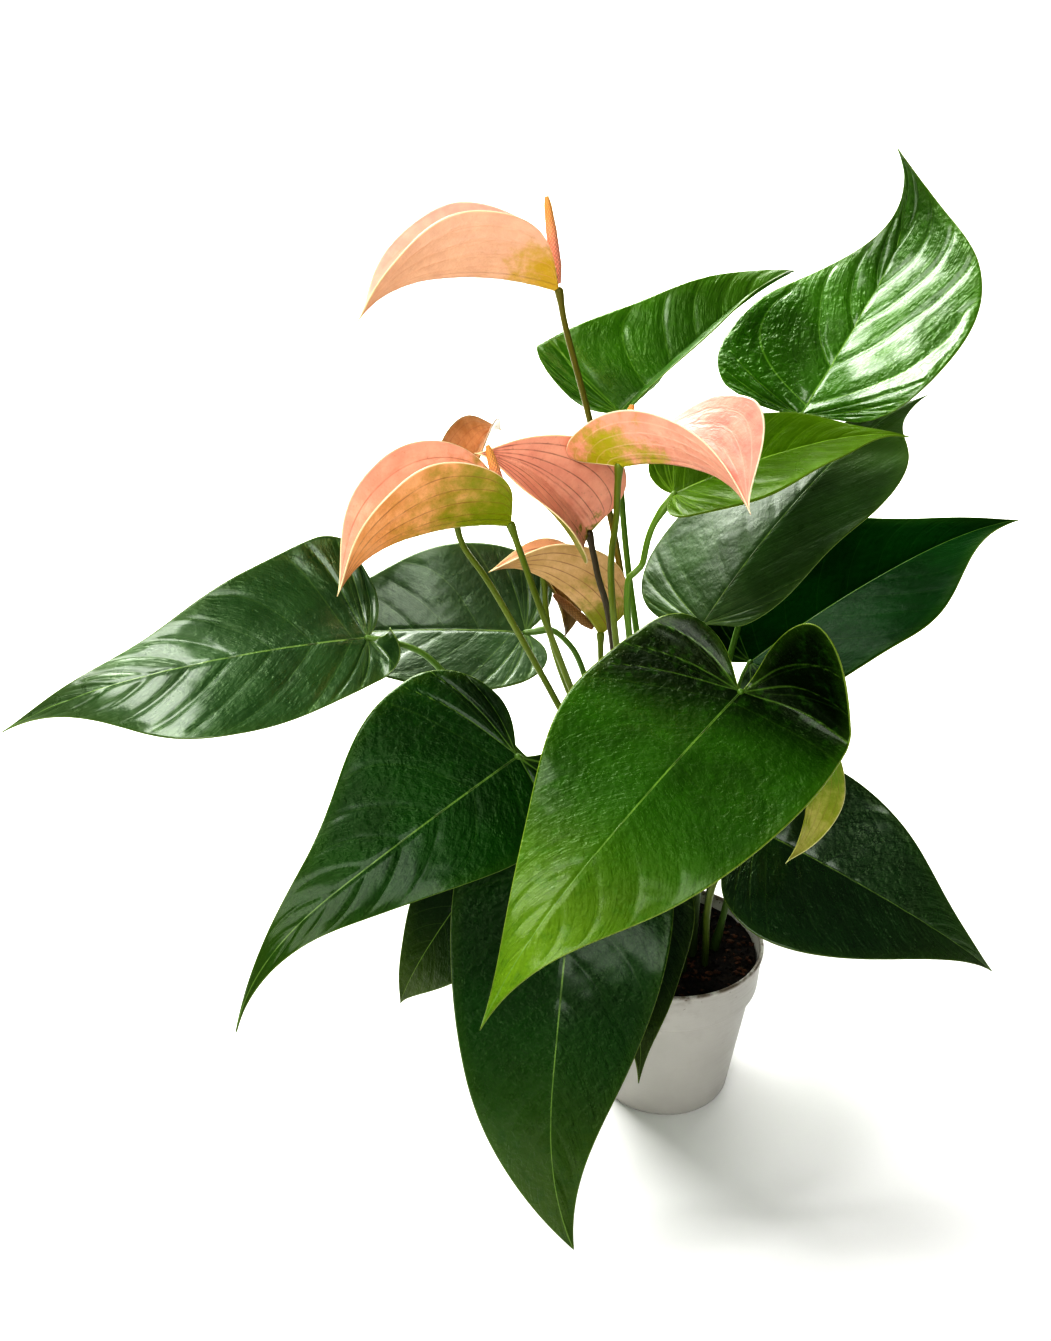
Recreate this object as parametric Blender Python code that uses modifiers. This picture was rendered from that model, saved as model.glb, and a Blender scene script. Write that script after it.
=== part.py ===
"""Potted anthurium: heart-shaped leaves and folded peach spathes on long stems, in a plastic pot of soil.

The origin is the centre of the pot's base, +Z is up and -Y is the side that the plant shows best.
Positions in the tables below are in millimetres; everything is built in metres.
"""
import bmesh
import bpy
import numpy as np
from mathutils import Vector
from mathutils.bvhtree import BVHTree

MM = 0.001

# Pot: a thin plastic pot with a collar
POT_BASE_RADIUS = 43.0
POT_BODY_TOP_RADIUS = 54.5
POT_COLLAR_RADIUS = 57.5
POT_RIM_RADIUS = 60.0
POT_COLLAR_HEIGHT = 80.0
POT_HEIGHT = 107.0
POT_WALL = 1.3
POT_FLOOR = 2.0
POT_LIP = 2.5
POT_LIP_DEPTH = 3.0
POT_STEP = 2.0    # height over which the body widens into the collar
POT_BASE_EDGE = 1.5
DRAIN_HOLES = 6
DRAIN_RADIUS = 3.5
DRAIN_RING = 30.0
DRAIN_SIDES = 10
POT_SEGMENTS = 48

# Soil
SOIL_TOP = 99.0
SOIL_CROWN = 101.0
SOIL_CROWN_RADIUS = 36.0
HOLE_RADIUS = 2.9
HOLE_DEPTH = 12.0
HOLE_SIDES = 8

# How far a cutter runs past the surface it cuts
CUT_PAST = 2.0

# Gap kept between pieces that touch
GAP = 0.3

# Leaves, spathes, stems
LEAF_THICKNESS = 1.0
SPATHE_THICKNESS = 0.9
PETIOLE_RADIUS = (2.4, 1.7)    # at the soil and at the blade
STEM_RADIUS = (2.3, 1.6)
STEM_STEPS = 12
SPADIX_RADIUS = 3.0
SPADIX_ROOT_RADIUS = 1.7
SPADIX_TIP_RADIUS = 1.3
SPADIX_STEPS = 6
ROOM_STEP = 0.1    # step by which a stem's end or a spadix's foot backs away from its spathe

# Shape of a leaf, in lengths of its blade, with angles in degrees.
# A pair gives the left and the right half, as seen from above with the tip ahead.
LEAF_SHAPE = dict(
    halves=(0.33, 0.33),    # width of each half
    lobe=0.20,              # how far each lobe reaches behind the junction
    widest=0.16,            # where the half is widest
    sinus=38.0,             # angle at which the lobe's inner edge leaves the junction
    belly=0.34,             # how long the half keeps its width
    acumen=0.28,            # length of the drawn-out tip
    neck=0.035,             # half width of the blade where that tip starts
    corner=0.45,            # how far the lobe's hindmost corner is from the midrib, in half widths
    arch=-25.0,             # bend of the midrib along its length
    sway=0.0,               # sideways turn of the last part towards the left half
    tip_bend=-15.0,         # further bend of the last part
    fold=(12.0, 12.0),      # rise of each half from the midrib, at the junction
    fold_tip=None,          # the same at the tip, where it differs
    curl=(0.0, 0.0),        # further rise towards the margin
    lift=(10.0, 10.0),      # rise of each lobe behind the junction
    lift_reach=1.0,         # share of the lobe over which it rises
    wave=0.010,             # height of the waves along the margin
    waves=2.5,
    phase=0.0,
    rows=14,
    columns=3,
)

# Share of the margin whose rows all start at the junction
FAN = 0.22

# How much further out than its hindmost corner the lobe's shoulder is, in half widths
LOBE_SHOULDER = 0.33

# A spathe is a smaller leaf-like bract folded up along its keel
SPATHE_SHAPE = dict(
    LEAF_SHAPE, halves=(0.36, 0.36), lobe=-0.04, widest=0.38, sinus=25.0, belly=0.45, acumen=0.20,
    arch=-40.0, tip_bend=-30.0, fold=(50.0, 50.0), curl=(20.0, 20.0), lift=(0.0, 0.0), wave=0.006,
    rows=12,
)

# Each leaf: where the petiole meets the blade, the tip, and the way its upper side faces.
# The petiole stands in the soil at hole and either passes through its points or arrives along a direction.
LEAVES = dict(
    leaf_front=dict(
        junction=(16, -100, 326), tip=(-110, -225, 221), face=(-0.10, -0.58, 0.81), halves=(0.30, 0.33),
        lobe=(0.31, 0.11), corner=(0.38, 0.62), sinus=(0, 55), arch=-20, sway=10, fold=(-2, -8),
        curl=(18, 5), lift=(92, 20), lift_reach=0.32, belly=(0.5, 0.34),
        hole=(6, -25), arrive=(0.1, -0.5, 0.8), green=(0.045, 0.150, 0.018)),
    leaf_lower_left=dict(
        junction=(-94, -85, 282), tip=(-234, -165, 169), face=(-0.10, -0.75, 0.65), halves=(0.22, 0.33),
        lobe=(0.20, 0.06), acumen=(0.45, 0.55), widest=0.10, belly=(0.25, 0.35), sinus=(38, 75),
        arch=-20, tip_bend=-25, sway=32, fold=(-15, 5), hole=(-20, -20), arrive=(-0.5, -0.4, 0.7),
        green=(0.030, 0.110, 0.020)),
    leaf_hanging=dict(
        junction=(-64, -100, 235), tip=(-65, -190, 49), face=(-0.15, -0.87, 0.46), halves=(0.26, 0.31),
        lobe=0.14, arch=-15, tip_bend=0, sway=28, fold=(-10, -10), belly=(0.35, 0.55),
        acumen=(0.20, 0.12), neck=0.06, hole=(-9, -30), via=[(-30, -38, 160), (-45, -57, 218)],
        green=(0.020, 0.085, 0.018)),
    leaf_hanging_rear=dict(
        junction=(-32, -57, 190), tip=(-26, -105, 83), face=(0.30, -0.85, 0.30), halves=(0.30, 0.26),
        lobe=0.10, arch=-15, hole=(-4, -17), arrive=(-0.3, -0.8, 0.3), green=(0.020, 0.070, 0.018)),
    leaf_low_left=dict(
        junction=(-105, -40, 197), tip=(-164, -60, 103), face=(-0.30, -0.60, 0.70), halves=(0.42, 0.25),
        belly=0.50, acumen=0.15, hole=(-29, -9), arrive=(-0.9, -0.2, 0.2), green=(0.015, 0.060, 0.015)),
    leaf_low_right=dict(
        junction=(51, 0, 186), tip=(196, -30, 103), face=(0.19, -0.76, 0.62), halves=(0.32, 0.36),
        lobe=(0.18, 0.06), hole=(29, -3), arrive=(0.5, 0, 0.8), green=(0.015, 0.065, 0.018)),
    leaf_mid_right=dict(
        junction=(48, 50, 275), tip=(219, 100, 350), face=(-0.30, -0.40, 0.87), halves=(0.33, 0.32),
        lobe=0.10, widest=(0.25, 0.38), hole=(25, 14), arrive=(0.4, 0.3, 0.8),
        green=(0.020, 0.080, 0.020)),
    leaf_big_right=dict(
        junction=(7, -20, 329), tip=(139, 60, 437), face=(-0.50, -0.28, 0.82), halves=(0.38, 0.21),
        lobe=(0.04, -0.04), lift=(-30, -30), fold=(0, -15), widest=(0.16, 0.60), belly=(0.34, 0.60),
        hole=(14, -10), arrive=(0, 0, 1), green=(0.040, 0.100, 0.040)),
    leaf_top_right=dict(
        junction=(68, 62, 425), tip=(125, 130, 564), face=(-0.50, -0.65, 0.55), halves=(0.38, 0.42),
        lobe=(0.03, 0.0), acumen=(0.45, 0.30), neck=(0.0, 0.10), widest=(0.15, 0.35), belly=(0.45, 0.6),
        arch=15, tip_bend=55, sway=28, hole=(15, 4), via=[(23, 36, 220), (50, 61, 340)],
        green=(0.060, 0.200, 0.030)),
    leaf_top_middle=dict(
        junction=(-36, 60, 427), tip=(70, 122, 497), face=(-0.10, -0.68, 0.72), halves=(0.44, 0.36),
        lobe=(0.10, 0.06), fold=(10, 62), widest=(-0.03, 0.20), belly=(0.0, 0.60), acumen=(0.30, 0.22),
        neck=(0.17, 0.10), hole=(-3, 20), arrive=(0, 0.2, 1), green=(0.060, 0.220, 0.025)),
    leaf_young=dict(
        junction=(-12, -20, 403), tip=(114, 0, 428), face=(-0.15, -0.35, 0.93), halves=(0.30, 0.29),
        lobe=0.06, widest=(0.16, 0.30), hole=(5, -2),
        via=[(-34, -26, 329), (-28, -26, 366), (-23, -23, 386)], green=(0.110, 0.320, 0.020)),
    leaf_far_left=dict(
        junction=(-177, -20, 321), tip=(-370, -60, 283), face=(-0.06, -0.52, 0.85), halves=(0.22, 0.31),
        lobe=(0.11, 0.06), corner=(0.2, 0.45), sinus=(20, 38), fold=(-10, 0), curl=(0, 45), lift=(130, 30),
        acumen=0.35, widest=(0.42, 0.08), belly=(0.4, 0.1), hole=(-32, 2),
        via=[(-69, 0, 207), (-93, -5, 240), (-127, -12, 285), (-149, -16, 311)],
        green=(0.060, 0.150, 0.045)),
    leaf_left_rear=dict(
        junction=(-90, 40, 299), tip=(-269, 80, 267), face=(-0.25, -0.55, 0.78), halves=(0.25, 0.30),
        lobe=0.08, hole=(-23, 22), via=[(-50, 35, 256), (-69, 40, 297)], green=(0.055, 0.110, 0.055)),
    leaf_rear=dict(
        junction=(-5, 80, 215), tip=(20, 235, 125), face=(0.10, 0.50, 0.86), hole=(8, 28),
        arrive=(0, 0.8, 0.5), green=(0.020, 0.080, 0.020)),
)

# Each bloom: the foot and the tip of its spathe, the way the spathe opens, and its spadix's direction
BLOOMS = dict(
    top=dict(
        junction=(-73, 0, 503), tip=(-172, -30, 493), face=(0.10, 0.30, 0.95), lobe=(-0.08, -0.04),
        halves=(0.33, 0.40), fold=(40, 58), curl=(20, 10), spadix=(-0.15, 0.1, 1),
        spadix_length=42, hole=(1, 9), via=[(-33, 18, 328), (-48, 12, 401), (-57, 8, 440), (-69, 2, 483)],
        peach=(0.850, 0.420, 0.240)),
    left=dict(
        junction=(-97, -85, 407), tip=(-176, -125, 386), face=(0.10, 0.30, 0.95), halves=(0.37, 0.46),
        fold=(50, 58), spadix=(-0.3, 0.2, 1), spadix_length=34, hole=(-16, -7),
        via=[(-45, -26, 242), (-65, -45, 301), (-83, -68, 359)], peach=(0.800, 0.330, 0.160)),
    left_rear=dict(
        junction=(-125, -60, 403), tip=(-103, 10, 429), face=(0, 0, 1), halves=(0.27, 0.27),
        spadix=(0, 0.3, 1), spadix_length=24, hole=(-28, 13),
        via=[(-52, -12, 234), (-69, -20, 275), (-106, -42, 356), (-121, -54, 385)],
        peach=(0.500, 0.280, 0.100)),
    centre=dict(
        junction=(-57, -35, 386), tip=(-115, -62, 436), face=(0.20, -0.50, 0.80), halves=(0.44, 0.40),
        fold=(-20, 50), fold_tip=(5, 50), curl=(60, 20), widest=(0.38, 0.30), spadix=(-0.45, -0.1, 0.9),
        spadix_length=36, hole=(-19, 4), via=[(-41, -22, 309), (-52, -33, 363)],
        peach=(0.780, 0.310, 0.230)),
    right=dict(
        junction=(-45, -68, 431), tip=(10, -125, 425), face=(0, 0.30, 0.95), lobe=(0.0, 0.3),
        halves=(0.46, 0.33), widest=(0.65, 0.20), fold=(25, 50), fold_tip=(82, 50),
        spadix=(0.2, 0.1, 1), spadix_length=26, hole=(-5, -5),
        via=[(-43, -45, 337), (-45, -62, 406)], peach=(0.860, 0.430, 0.340)),
    low=dict(
        junction=(-47, 8, 311), tip=(-110, -22, 360), face=(0, 0.2, 1), spadix=(-0.75, 0.1, 0.65),
        spadix_length=30, hole=(-10, 9), arrive=(0, 0, 1), peach=(0.700, 0.330, 0.220)),
    faded=dict(
        junction=(68, -28, 259), tip=(58, -50, 194), face=(0.60, 0.50, 0.30), halves=(0.30, 0.30),
        spadix=(0.5, 0.1, -0.8), spadix_length=26, hole=(21, -20),
        via=[(20, -36, 170), (43, -40, 225)], peach=(0.720, 0.640, 0.300)),
    spent=dict(
        junction=(-79, 30, 337), tip=(-67, 30, 300), face=(0.5, -0.5, 0.5), fold_tip=(15, 15),
        spadix=(0.7, 0.3, -0.6), spadix_length=16, hole=(-13, 18), arrive=(0, 0, 1),
        peach=(0.330, 0.130, 0.050)),
)

STEM_GREEN = (0.160, 0.290, 0.040)
SPADIX_ORANGE = (0.820, 0.330, 0.060)
POT_WHITE = (0.700, 0.690, 0.670)
SOIL_BROWN = (0.022, 0.016, 0.012)


def unit(vector):
    vector = np.asarray(vector, float)
    return vector / np.linalg.norm(vector)


def one_side(value, side):
    return value[side] if isinstance(value, tuple) else value


def bezier(p0, p1, p2, p3, count):
    t = np.linspace(0, 1, count)[:, None]
    p0, p1, p2, p3 = (np.asarray(p, float) for p in (p0, p1, p2, p3))
    return (1 - t) ** 3 * p0 + 3 * (1 - t) ** 2 * t * p1 + 3 * (1 - t) * t ** 2 * p2 + t ** 3 * p3


def distances(points):
    """How far along a line each of its points lies."""
    return np.r_[0, np.cumsum(np.linalg.norm(np.diff(points, axis=0), axis=1))]


def evenly(points, count):
    """The same line with evenly spaced points."""
    along = distances(points)
    at = np.linspace(0, along[-1], count)
    return np.column_stack([np.interp(at, along, column) for column in points.T])


def smooth_path(points, per_span):
    """A smooth curve through the points."""
    p = np.array(points, float)
    p = np.vstack([2 * p[0] - p[1], p, 2 * p[-1] - p[-2]])
    t = np.linspace(0, 1, per_span, endpoint=False)[:, None]
    spans = []
    for i in range(1, len(p) - 2):
        a, b, c, d = p[i - 1:i + 3]
        spans.append(0.5 * (2 * b + (c - a) * t + (2 * a - 5 * b + 4 * c - d) * t ** 2
                            + (3 * b - a - 3 * c + d) * t ** 3))
    return np.vstack(spans + [p[-2:-1]])


def half_margin(shape, side):
    """Flat outline of one half: the lobe's inner edge out of the junction, and the margin on to the tip."""
    keys = ("halves", "lobe", "widest", "sinus", "belly", "acumen", "neck", "corner")
    half, lobe, widest, sinus, belly, acumen, neck, inset = (one_side(shape[key], side) for key in keys)
    angle = np.radians(sinus)
    corner = np.array([-lobe, inset * half])
    outset = inset + LOBE_SHOULDER
    shoulder = (-lobe * (1.0 if lobe > 0 else outset / inset), outset * half)
    wide = (widest, half)
    inner = bezier((0, 0), (-0.5 * lobe * np.cos(angle), 0.5 * lobe * np.sin(angle)),
                   (-lobe, 0.5 * inset * half), corner, 40)
    bow = (evenly(inner, 40) - np.linspace(0, 1, 40)[:, None] * corner) * (lobe > 0)
    round_lobe = bezier(corner, shoulder, (widest - 0.5 * (widest + lobe), half), wide, 40)
    outer = bezier(wide, (widest + belly * (1 - widest), half), (1 - acumen, neck), (1, 0), 80)
    edge = np.vstack([round_lobe, outer[1:]])
    along = distances(edge)
    return bow, along / along[-1], edge


def midrib(shape, side):
    """Stations along the midrib and behind it, with their points and their left and up axes."""
    lobe = max(one_side(shape["lobe"], side), 0.01)
    back = np.linspace(-1.15 * lobe, 0, 24)[:-1]
    x = np.r_[back, np.linspace(0, 1, 81)]
    last_part = np.clip((x - 0.55) / 0.45, 0, 1) ** 1.5
    pitch = np.radians(np.where(x >= 0, shape["arch"] * x + shape["tip_bend"] * last_part,
                                shape["lift"][side] * np.maximum(x / (lobe * shape["lift_reach"]), -1)))
    turn = np.radians(shape["sway"]) * last_part
    along = np.column_stack([np.cos(pitch) * np.cos(turn), np.sin(turn), np.sin(pitch) * np.cos(turn)])
    up = np.column_stack([-np.sin(pitch), np.zeros_like(pitch), np.cos(pitch)])
    left = np.cross(up, along)
    steps = np.diff(x)[:, None] * (along[1:] + along[:-1]) / 2
    points = np.vstack([[0, 0, 0], np.cumsum(steps, axis=0)])
    points -= points[len(back)]
    return x, points, left, up


def bent_half(shape, side, u, v):
    """Points of one half: u runs from the lobe's inner edge to the tip, v from the midrib to the margin."""
    bow, along_margin, edge = half_margin(shape, side)
    anchor = np.clip((u - FAN) / (1 - FAN), 0, 1)
    near_sinus = np.clip(1 - u / FAN, 0, 1)
    bow_x, bow_y = (near_sinus * np.interp(v, np.linspace(0, 1, len(bow)), bow[:, k]) for k in (0, 1))
    x = anchor + (np.interp(u, along_margin, edge[:, 0]) - anchor) * v + bow_x
    y = np.interp(u, along_margin, edge[:, 1]) * v + bow_y
    stations, points, left, up = midrib(shape, side)
    base, left, up = (np.column_stack([np.interp(x, stations, table[:, k]) for k in range(3)])
                      for table in (points, left, up))
    fold_start = shape["fold"][side]
    fold_end = (shape["fold_tip"] or shape["fold"])[side]
    fold = np.radians(fold_start + (fold_end - fold_start) * np.clip(x, 0, 1))
    bend = np.radians(shape["curl"][side]) / shape["halves"][side]
    bend = bend if abs(bend) > 1e-6 else 1e-6
    out = (np.sin(fold + bend * y) - np.sin(fold)) / bend
    rise = (np.cos(fold) - np.cos(fold + bend * y)) / bend
    turn = 2 * np.pi * (shape["waves"] * u + shape["phase"] + 0.25 * side)
    rise = rise + shape["wave"] * np.sin(turn) * v ** 2 * np.sqrt(np.sin(np.pi * np.clip(u, 0, 1)))
    sign = 1 if side == 0 else -1
    return base + sign * out[:, None] * left + rise[:, None] * up


def blade_points(shape, u, v):
    """Points of the blade in millimetres; v is positive on the left half and negative on the right."""
    local = np.where((v >= 0)[:, None], bent_half(shape, 0, u, np.abs(v)), bent_half(shape, 1, u, np.abs(v)))
    stations, points, _, up = midrib(shape, 0)
    chord = points[-1]
    e1 = unit(chord)
    mid_up = up[np.searchsorted(stations, 0.35)]
    e3 = unit(mid_up - mid_up.dot(e1) * e1)
    e2 = np.cross(e3, e1)
    junction, tip, face = (np.asarray(shape[key], float) for key in ("junction", "tip", "face"))
    f1 = unit(tip - junction)
    f3 = unit(face - face.dot(f1) * f1)
    f2 = np.cross(f3, f1)
    turn = np.column_stack([f1, f2, f3]) @ np.column_stack([e1, e2, e3]).T
    size = np.linalg.norm(tip - junction) / np.linalg.norm(chord)
    return junction + size * local @ turn.T


def stem_path(shape):
    """Centre line of a stem in millimetres, from the bottom of its hole to the junction."""
    x, y = shape["hole"]
    mouth = np.array([x, y, SOIL_CROWN])
    junction = np.array(shape["junction"], float)
    reach = np.linalg.norm(junction - mouth)
    if "via" in shape:
        points = [mouth, *shape["via"], junction]
        body = smooth_path(points, max(3, round(STEM_STEPS / (len(points) - 1))))
    else:
        body = bezier(mouth, mouth + (0.3 * x, 0.3 * y, 0.45 * reach),
                      junction - 0.35 * reach * unit(shape["arrive"]), junction, STEM_STEPS + 1)
    foot = (x, y, SOIL_CROWN - HOLE_DEPTH + GAP)
    return np.vstack([foot, body])


def new_material(name, colour, roughness, metallic=0.0):
    material = bpy.data.materials.new(name)
    material.use_nodes = True
    shader = material.node_tree.nodes["Principled BSDF"]
    shader.inputs["Base Color"].default_value = (*colour, 1.0)
    shader.inputs["Roughness"].default_value = roughness
    shader.inputs["Metallic"].default_value = metallic
    material.diffuse_color = (*colour, 1.0)
    return material


def link(obj, collection, material=None):
    collection.objects.link(obj)
    if material is not None:
        obj.data.materials.append(material)
    return obj


def hide_cutter(obj):
    obj.hide_render = True
    obj.display_type = "WIRE"
    return obj


def blade_surface(name, shape):
    """A grid bent into the blade's middle surface, split into triangles."""
    mesh = bpy.data.meshes.new(name)
    bm = bmesh.new()
    bmesh.ops.create_grid(bm, x_segments=shape["rows"], y_segments=2 * shape["columns"], size=1.0)
    grid = np.array([vertex.co[:2] for vertex in bm.verts])
    placed = blade_points(shape, (grid[:, 0] + 1) / 2, grid[:, 1]) * MM
    for vertex, point in zip(bm.verts, placed):
        vertex.co = point
    bmesh.ops.remove_doubles(bm, verts=bm.verts, dist=0.00002)
    bmesh.ops.triangulate(bm, faces=bm.faces, quad_method="SHORT_EDGE")
    bm.to_mesh(mesh)
    bm.free()
    return mesh


def blade_object(name, shape, thickness, collection, material):
    obj = link(bpy.data.objects.new(name, blade_surface(name, shape)), collection, material)
    solidify = obj.modifiers.new("thickness", "SOLIDIFY")
    solidify.thickness = thickness * MM
    solidify.offset = 0.0
    solidify.use_even_offset = False
    return obj


def tube_curve(name, path, radii):
    """A poly curve with round section, its radius given at each point in millimetres."""
    curve = bpy.data.curves.new(name, "CURVE")
    curve.dimensions = "3D"
    curve.bevel_depth = MM
    curve.bevel_resolution = 1
    curve.use_fill_caps = True
    spline = curve.splines.new("POLY")
    spline.points.add(len(path) - 1)
    for point, place, radius in zip(spline.points, path, radii):
        point.co = (*(Vector(place) * MM), 1.0)
        point.radius = radius
    return bpy.data.objects.new(name, curve)


def tube_mesh(name, path, radii, collection):
    """The same tube as a closed mesh."""
    source = tube_curve(name + "_curve", path, radii)
    collection.objects.link(source)
    mesh = bpy.data.meshes.new_from_object(source.evaluated_get(bpy.context.evaluated_depsgraph_get()))
    curve = source.data
    bpy.data.objects.remove(source)
    bpy.data.curves.remove(curve)
    bm = bmesh.new()
    bm.from_mesh(mesh)
    bmesh.ops.remove_doubles(bm, verts=bm.verts, dist=0.00002)
    bm.to_mesh(mesh)
    bm.free()
    mesh.name = name
    return link(bpy.data.objects.new(name, mesh), collection)


def clear_of(tree, centre, direction, radius, clearance):
    """Whether a round end with this centre keeps its distance from a surface."""
    side = unit(np.cross(direction, np.roll(direction, 1) + (0.1, 0.2, 0.3)))
    other = np.cross(direction, side)
    for angle in np.linspace(0, 2 * np.pi, 12, endpoint=False):
        rim = centre + radius * (np.cos(angle) * side + np.sin(angle) * other)
        if tree.find_nearest(Vector(rim * MM))[3] < clearance * MM:
            return False
    return tree.find_nearest(Vector(centre * MM))[3] >= clearance * MM


def trimmed_to(tree, path, radius, clearance):
    """The path, ended where a round end of that radius would come too close to the surface."""
    steps = distances(path)
    end = steps[-1]
    while True:
        place = np.array([np.interp(end, steps, path[:, k]) for k in range(3)])
        before = np.array([np.interp(end - 1.0, steps, path[:, k]) for k in range(3)])
        if clear_of(tree, place, unit(place - before), radius, clearance):
            break
        end -= ROOM_STEP
    return np.vstack([path[steps < end - 1.0], place])


def make_leaf(name, details, number, plant, guides):
    shape = {**LEAF_SHAPE, "phase": 0.17 * number, **details}
    colour = shape["green"]
    leaf = blade_object(name, shape, LEAF_THICKNESS, plant, new_material(name, colour, 0.28))
    path = stem_path(shape)
    radii = np.linspace(*PETIOLE_RADIUS, len(path))
    petiole = hide_cutter(tube_mesh(name + "_petiole", path, radii, guides))
    union = leaf.modifiers.new("petiole", "BOOLEAN")
    union.operation = "UNION"
    union.solver = "EXACT"
    union.object = petiole


def make_bloom(name, details, number, plant):
    shape = {**SPATHE_SHAPE, "phase": 0.31 * number, **details}
    spathe = blade_object("spathe_" + name, shape, SPATHE_THICKNESS, plant,
                          new_material("spathe_" + name, shape["peach"], 0.35))
    mesh = spathe.data
    tree = BVHTree.FromPolygons([v.co for v in mesh.vertices], [p.vertices for p in mesh.polygons])
    clearance = SPATHE_THICKNESS / 2 + GAP
    path = trimmed_to(tree, stem_path(shape), STEM_RADIUS[1], clearance)
    radii = np.linspace(*STEM_RADIUS, len(path))
    stem = tube_curve("flower_stem_" + name, path, radii)
    link(stem, plant, new_material("flower_stem_" + name, STEM_GREEN, 0.4))
    direction = unit(shape["spadix"])
    foot = np.array(shape["junction"], float)
    while not clear_of(tree, foot, direction, SPADIX_ROOT_RADIUS, clearance):
        foot = foot + ROOM_STEP * direction
    t = np.linspace(0, 1, SPADIX_STEPS + 1)
    path = foot + shape["spadix_length"] * t[:, None] * direction
    radii = np.interp(t, (0, 0.2, 0.6, 0.9, 1),
                      (SPADIX_ROOT_RADIUS, SPADIX_RADIUS, 0.9 * SPADIX_RADIUS, 0.65 * SPADIX_RADIUS,
                       SPADIX_TIP_RADIUS))
    spadix = tube_curve("spadix_" + name, path, radii)
    link(spadix, plant, new_material("spadix_" + name, SPADIX_ORANGE, 0.55))


def turned(name, profile, segments, collection, material=None):
    """A solid turned round the Z axis from a profile of (radius, height) in millimetres."""
    mesh = bpy.data.meshes.new(name)
    edges = [(i, i + 1) for i in range(len(profile) - 1)]
    mesh.from_pydata([(r * MM, 0, z * MM) for r, z in profile], edges, [])
    obj = link(bpy.data.objects.new(name, mesh), collection, material)
    screw = obj.modifiers.new("turn", "SCREW")
    screw.steps = segments
    screw.render_steps = segments
    screw.use_merge_vertices = True
    screw.merge_threshold = 0.00001
    screw.use_smooth_shade = False
    return obj


def cylinder_cutter(name, x, y, low, high, radius, sides, collection):
    mesh = bpy.data.meshes.new(name)
    bm = bmesh.new()
    bmesh.ops.create_cone(bm, cap_ends=True, segments=sides, radius1=radius * MM, radius2=radius * MM,
                          depth=(high - low) * MM)
    bm.to_mesh(mesh)
    bm.free()
    obj = link(bpy.data.objects.new(name, mesh), collection)
    obj.location = (x * MM, y * MM, 0.5 * (low + high) * MM)
    return hide_cutter(obj)


def subtract(obj, collection):
    cut = obj.modifiers.new("holes", "BOOLEAN")
    cut.operation = "DIFFERENCE"
    cut.solver = "EXACT"
    cut.operand_type = "COLLECTION"
    cut.collection = collection


def make_pot(plant, drains):
    inner_step = POT_COLLAR_HEIGHT + POT_WALL
    profile = [
        (0, POT_FLOOR), (POT_BASE_RADIUS - POT_WALL, POT_FLOOR),
        (POT_BODY_TOP_RADIUS - POT_WALL, inner_step), (POT_COLLAR_RADIUS - POT_WALL, inner_step + POT_STEP),
        (POT_RIM_RADIUS - POT_LIP, POT_HEIGHT), (POT_RIM_RADIUS, POT_HEIGHT),
        (POT_RIM_RADIUS, POT_HEIGHT - POT_LIP_DEPTH), (POT_COLLAR_RADIUS, POT_COLLAR_HEIGHT),
        (POT_BODY_TOP_RADIUS, POT_COLLAR_HEIGHT - POT_STEP), (POT_BASE_RADIUS, POT_BASE_EDGE),
        (POT_BASE_RADIUS - POT_BASE_EDGE, 0), (0, 0)]
    pot = turned("pot", profile, POT_SEGMENTS, plant, new_material("pot", POT_WHITE, 0.45))
    for i in range(DRAIN_HOLES):
        angle = 2 * np.pi * i / DRAIN_HOLES
        x, y = DRAIN_RING * np.cos(angle), DRAIN_RING * np.sin(angle)
        cylinder_cutter(f"drain_{i}", x, y, -CUT_PAST, POT_FLOOR + CUT_PAST, DRAIN_RADIUS, DRAIN_SIDES,
                        drains)
    subtract(pot, drains)


def make_soil(plant, sockets):
    slope = (POT_BODY_TOP_RADIUS - POT_BASE_RADIUS) / (POT_COLLAR_HEIGHT + POT_WALL - POT_FLOOR)
    collar_slope = (POT_RIM_RADIUS - POT_LIP - POT_COLLAR_RADIUS + POT_WALL) / (
        POT_HEIGHT - POT_COLLAR_HEIGHT - POT_WALL - POT_STEP)
    clear = POT_WALL + 1.5 * GAP
    low = POT_FLOOR + GAP
    shelf = POT_COLLAR_HEIGHT + POT_WALL + POT_STEP + 2 * GAP
    top_radius = POT_COLLAR_RADIUS - clear + collar_slope * (SOIL_TOP - shelf)
    profile = [
        (0, SOIL_CROWN), (SOIL_CROWN_RADIUS, SOIL_CROWN), (top_radius, SOIL_TOP),
        (POT_COLLAR_RADIUS - clear, shelf), (POT_BODY_TOP_RADIUS - clear - GAP, shelf - POT_STEP - GAP),
        (POT_BASE_RADIUS - clear - GAP + slope * GAP, low), (0, low)]
    soil = turned("soil", profile, POT_SEGMENTS, plant, new_material("soil", SOIL_BROWN, 0.95))
    holes = [details["hole"] for details in [*LEAVES.values(), *BLOOMS.values()]]
    for i, (x, y) in enumerate(holes):
        bottom = SOIL_CROWN - HOLE_DEPTH
        cylinder_cutter(f"socket_{i}", x, y, bottom, SOIL_CROWN + CUT_PAST, HOLE_RADIUS, HOLE_SIDES, sockets)
    subtract(soil, sockets)


def new_collection(name):
    collection = bpy.data.collections.new(name)
    bpy.context.scene.collection.children.link(collection)
    return collection


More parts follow.
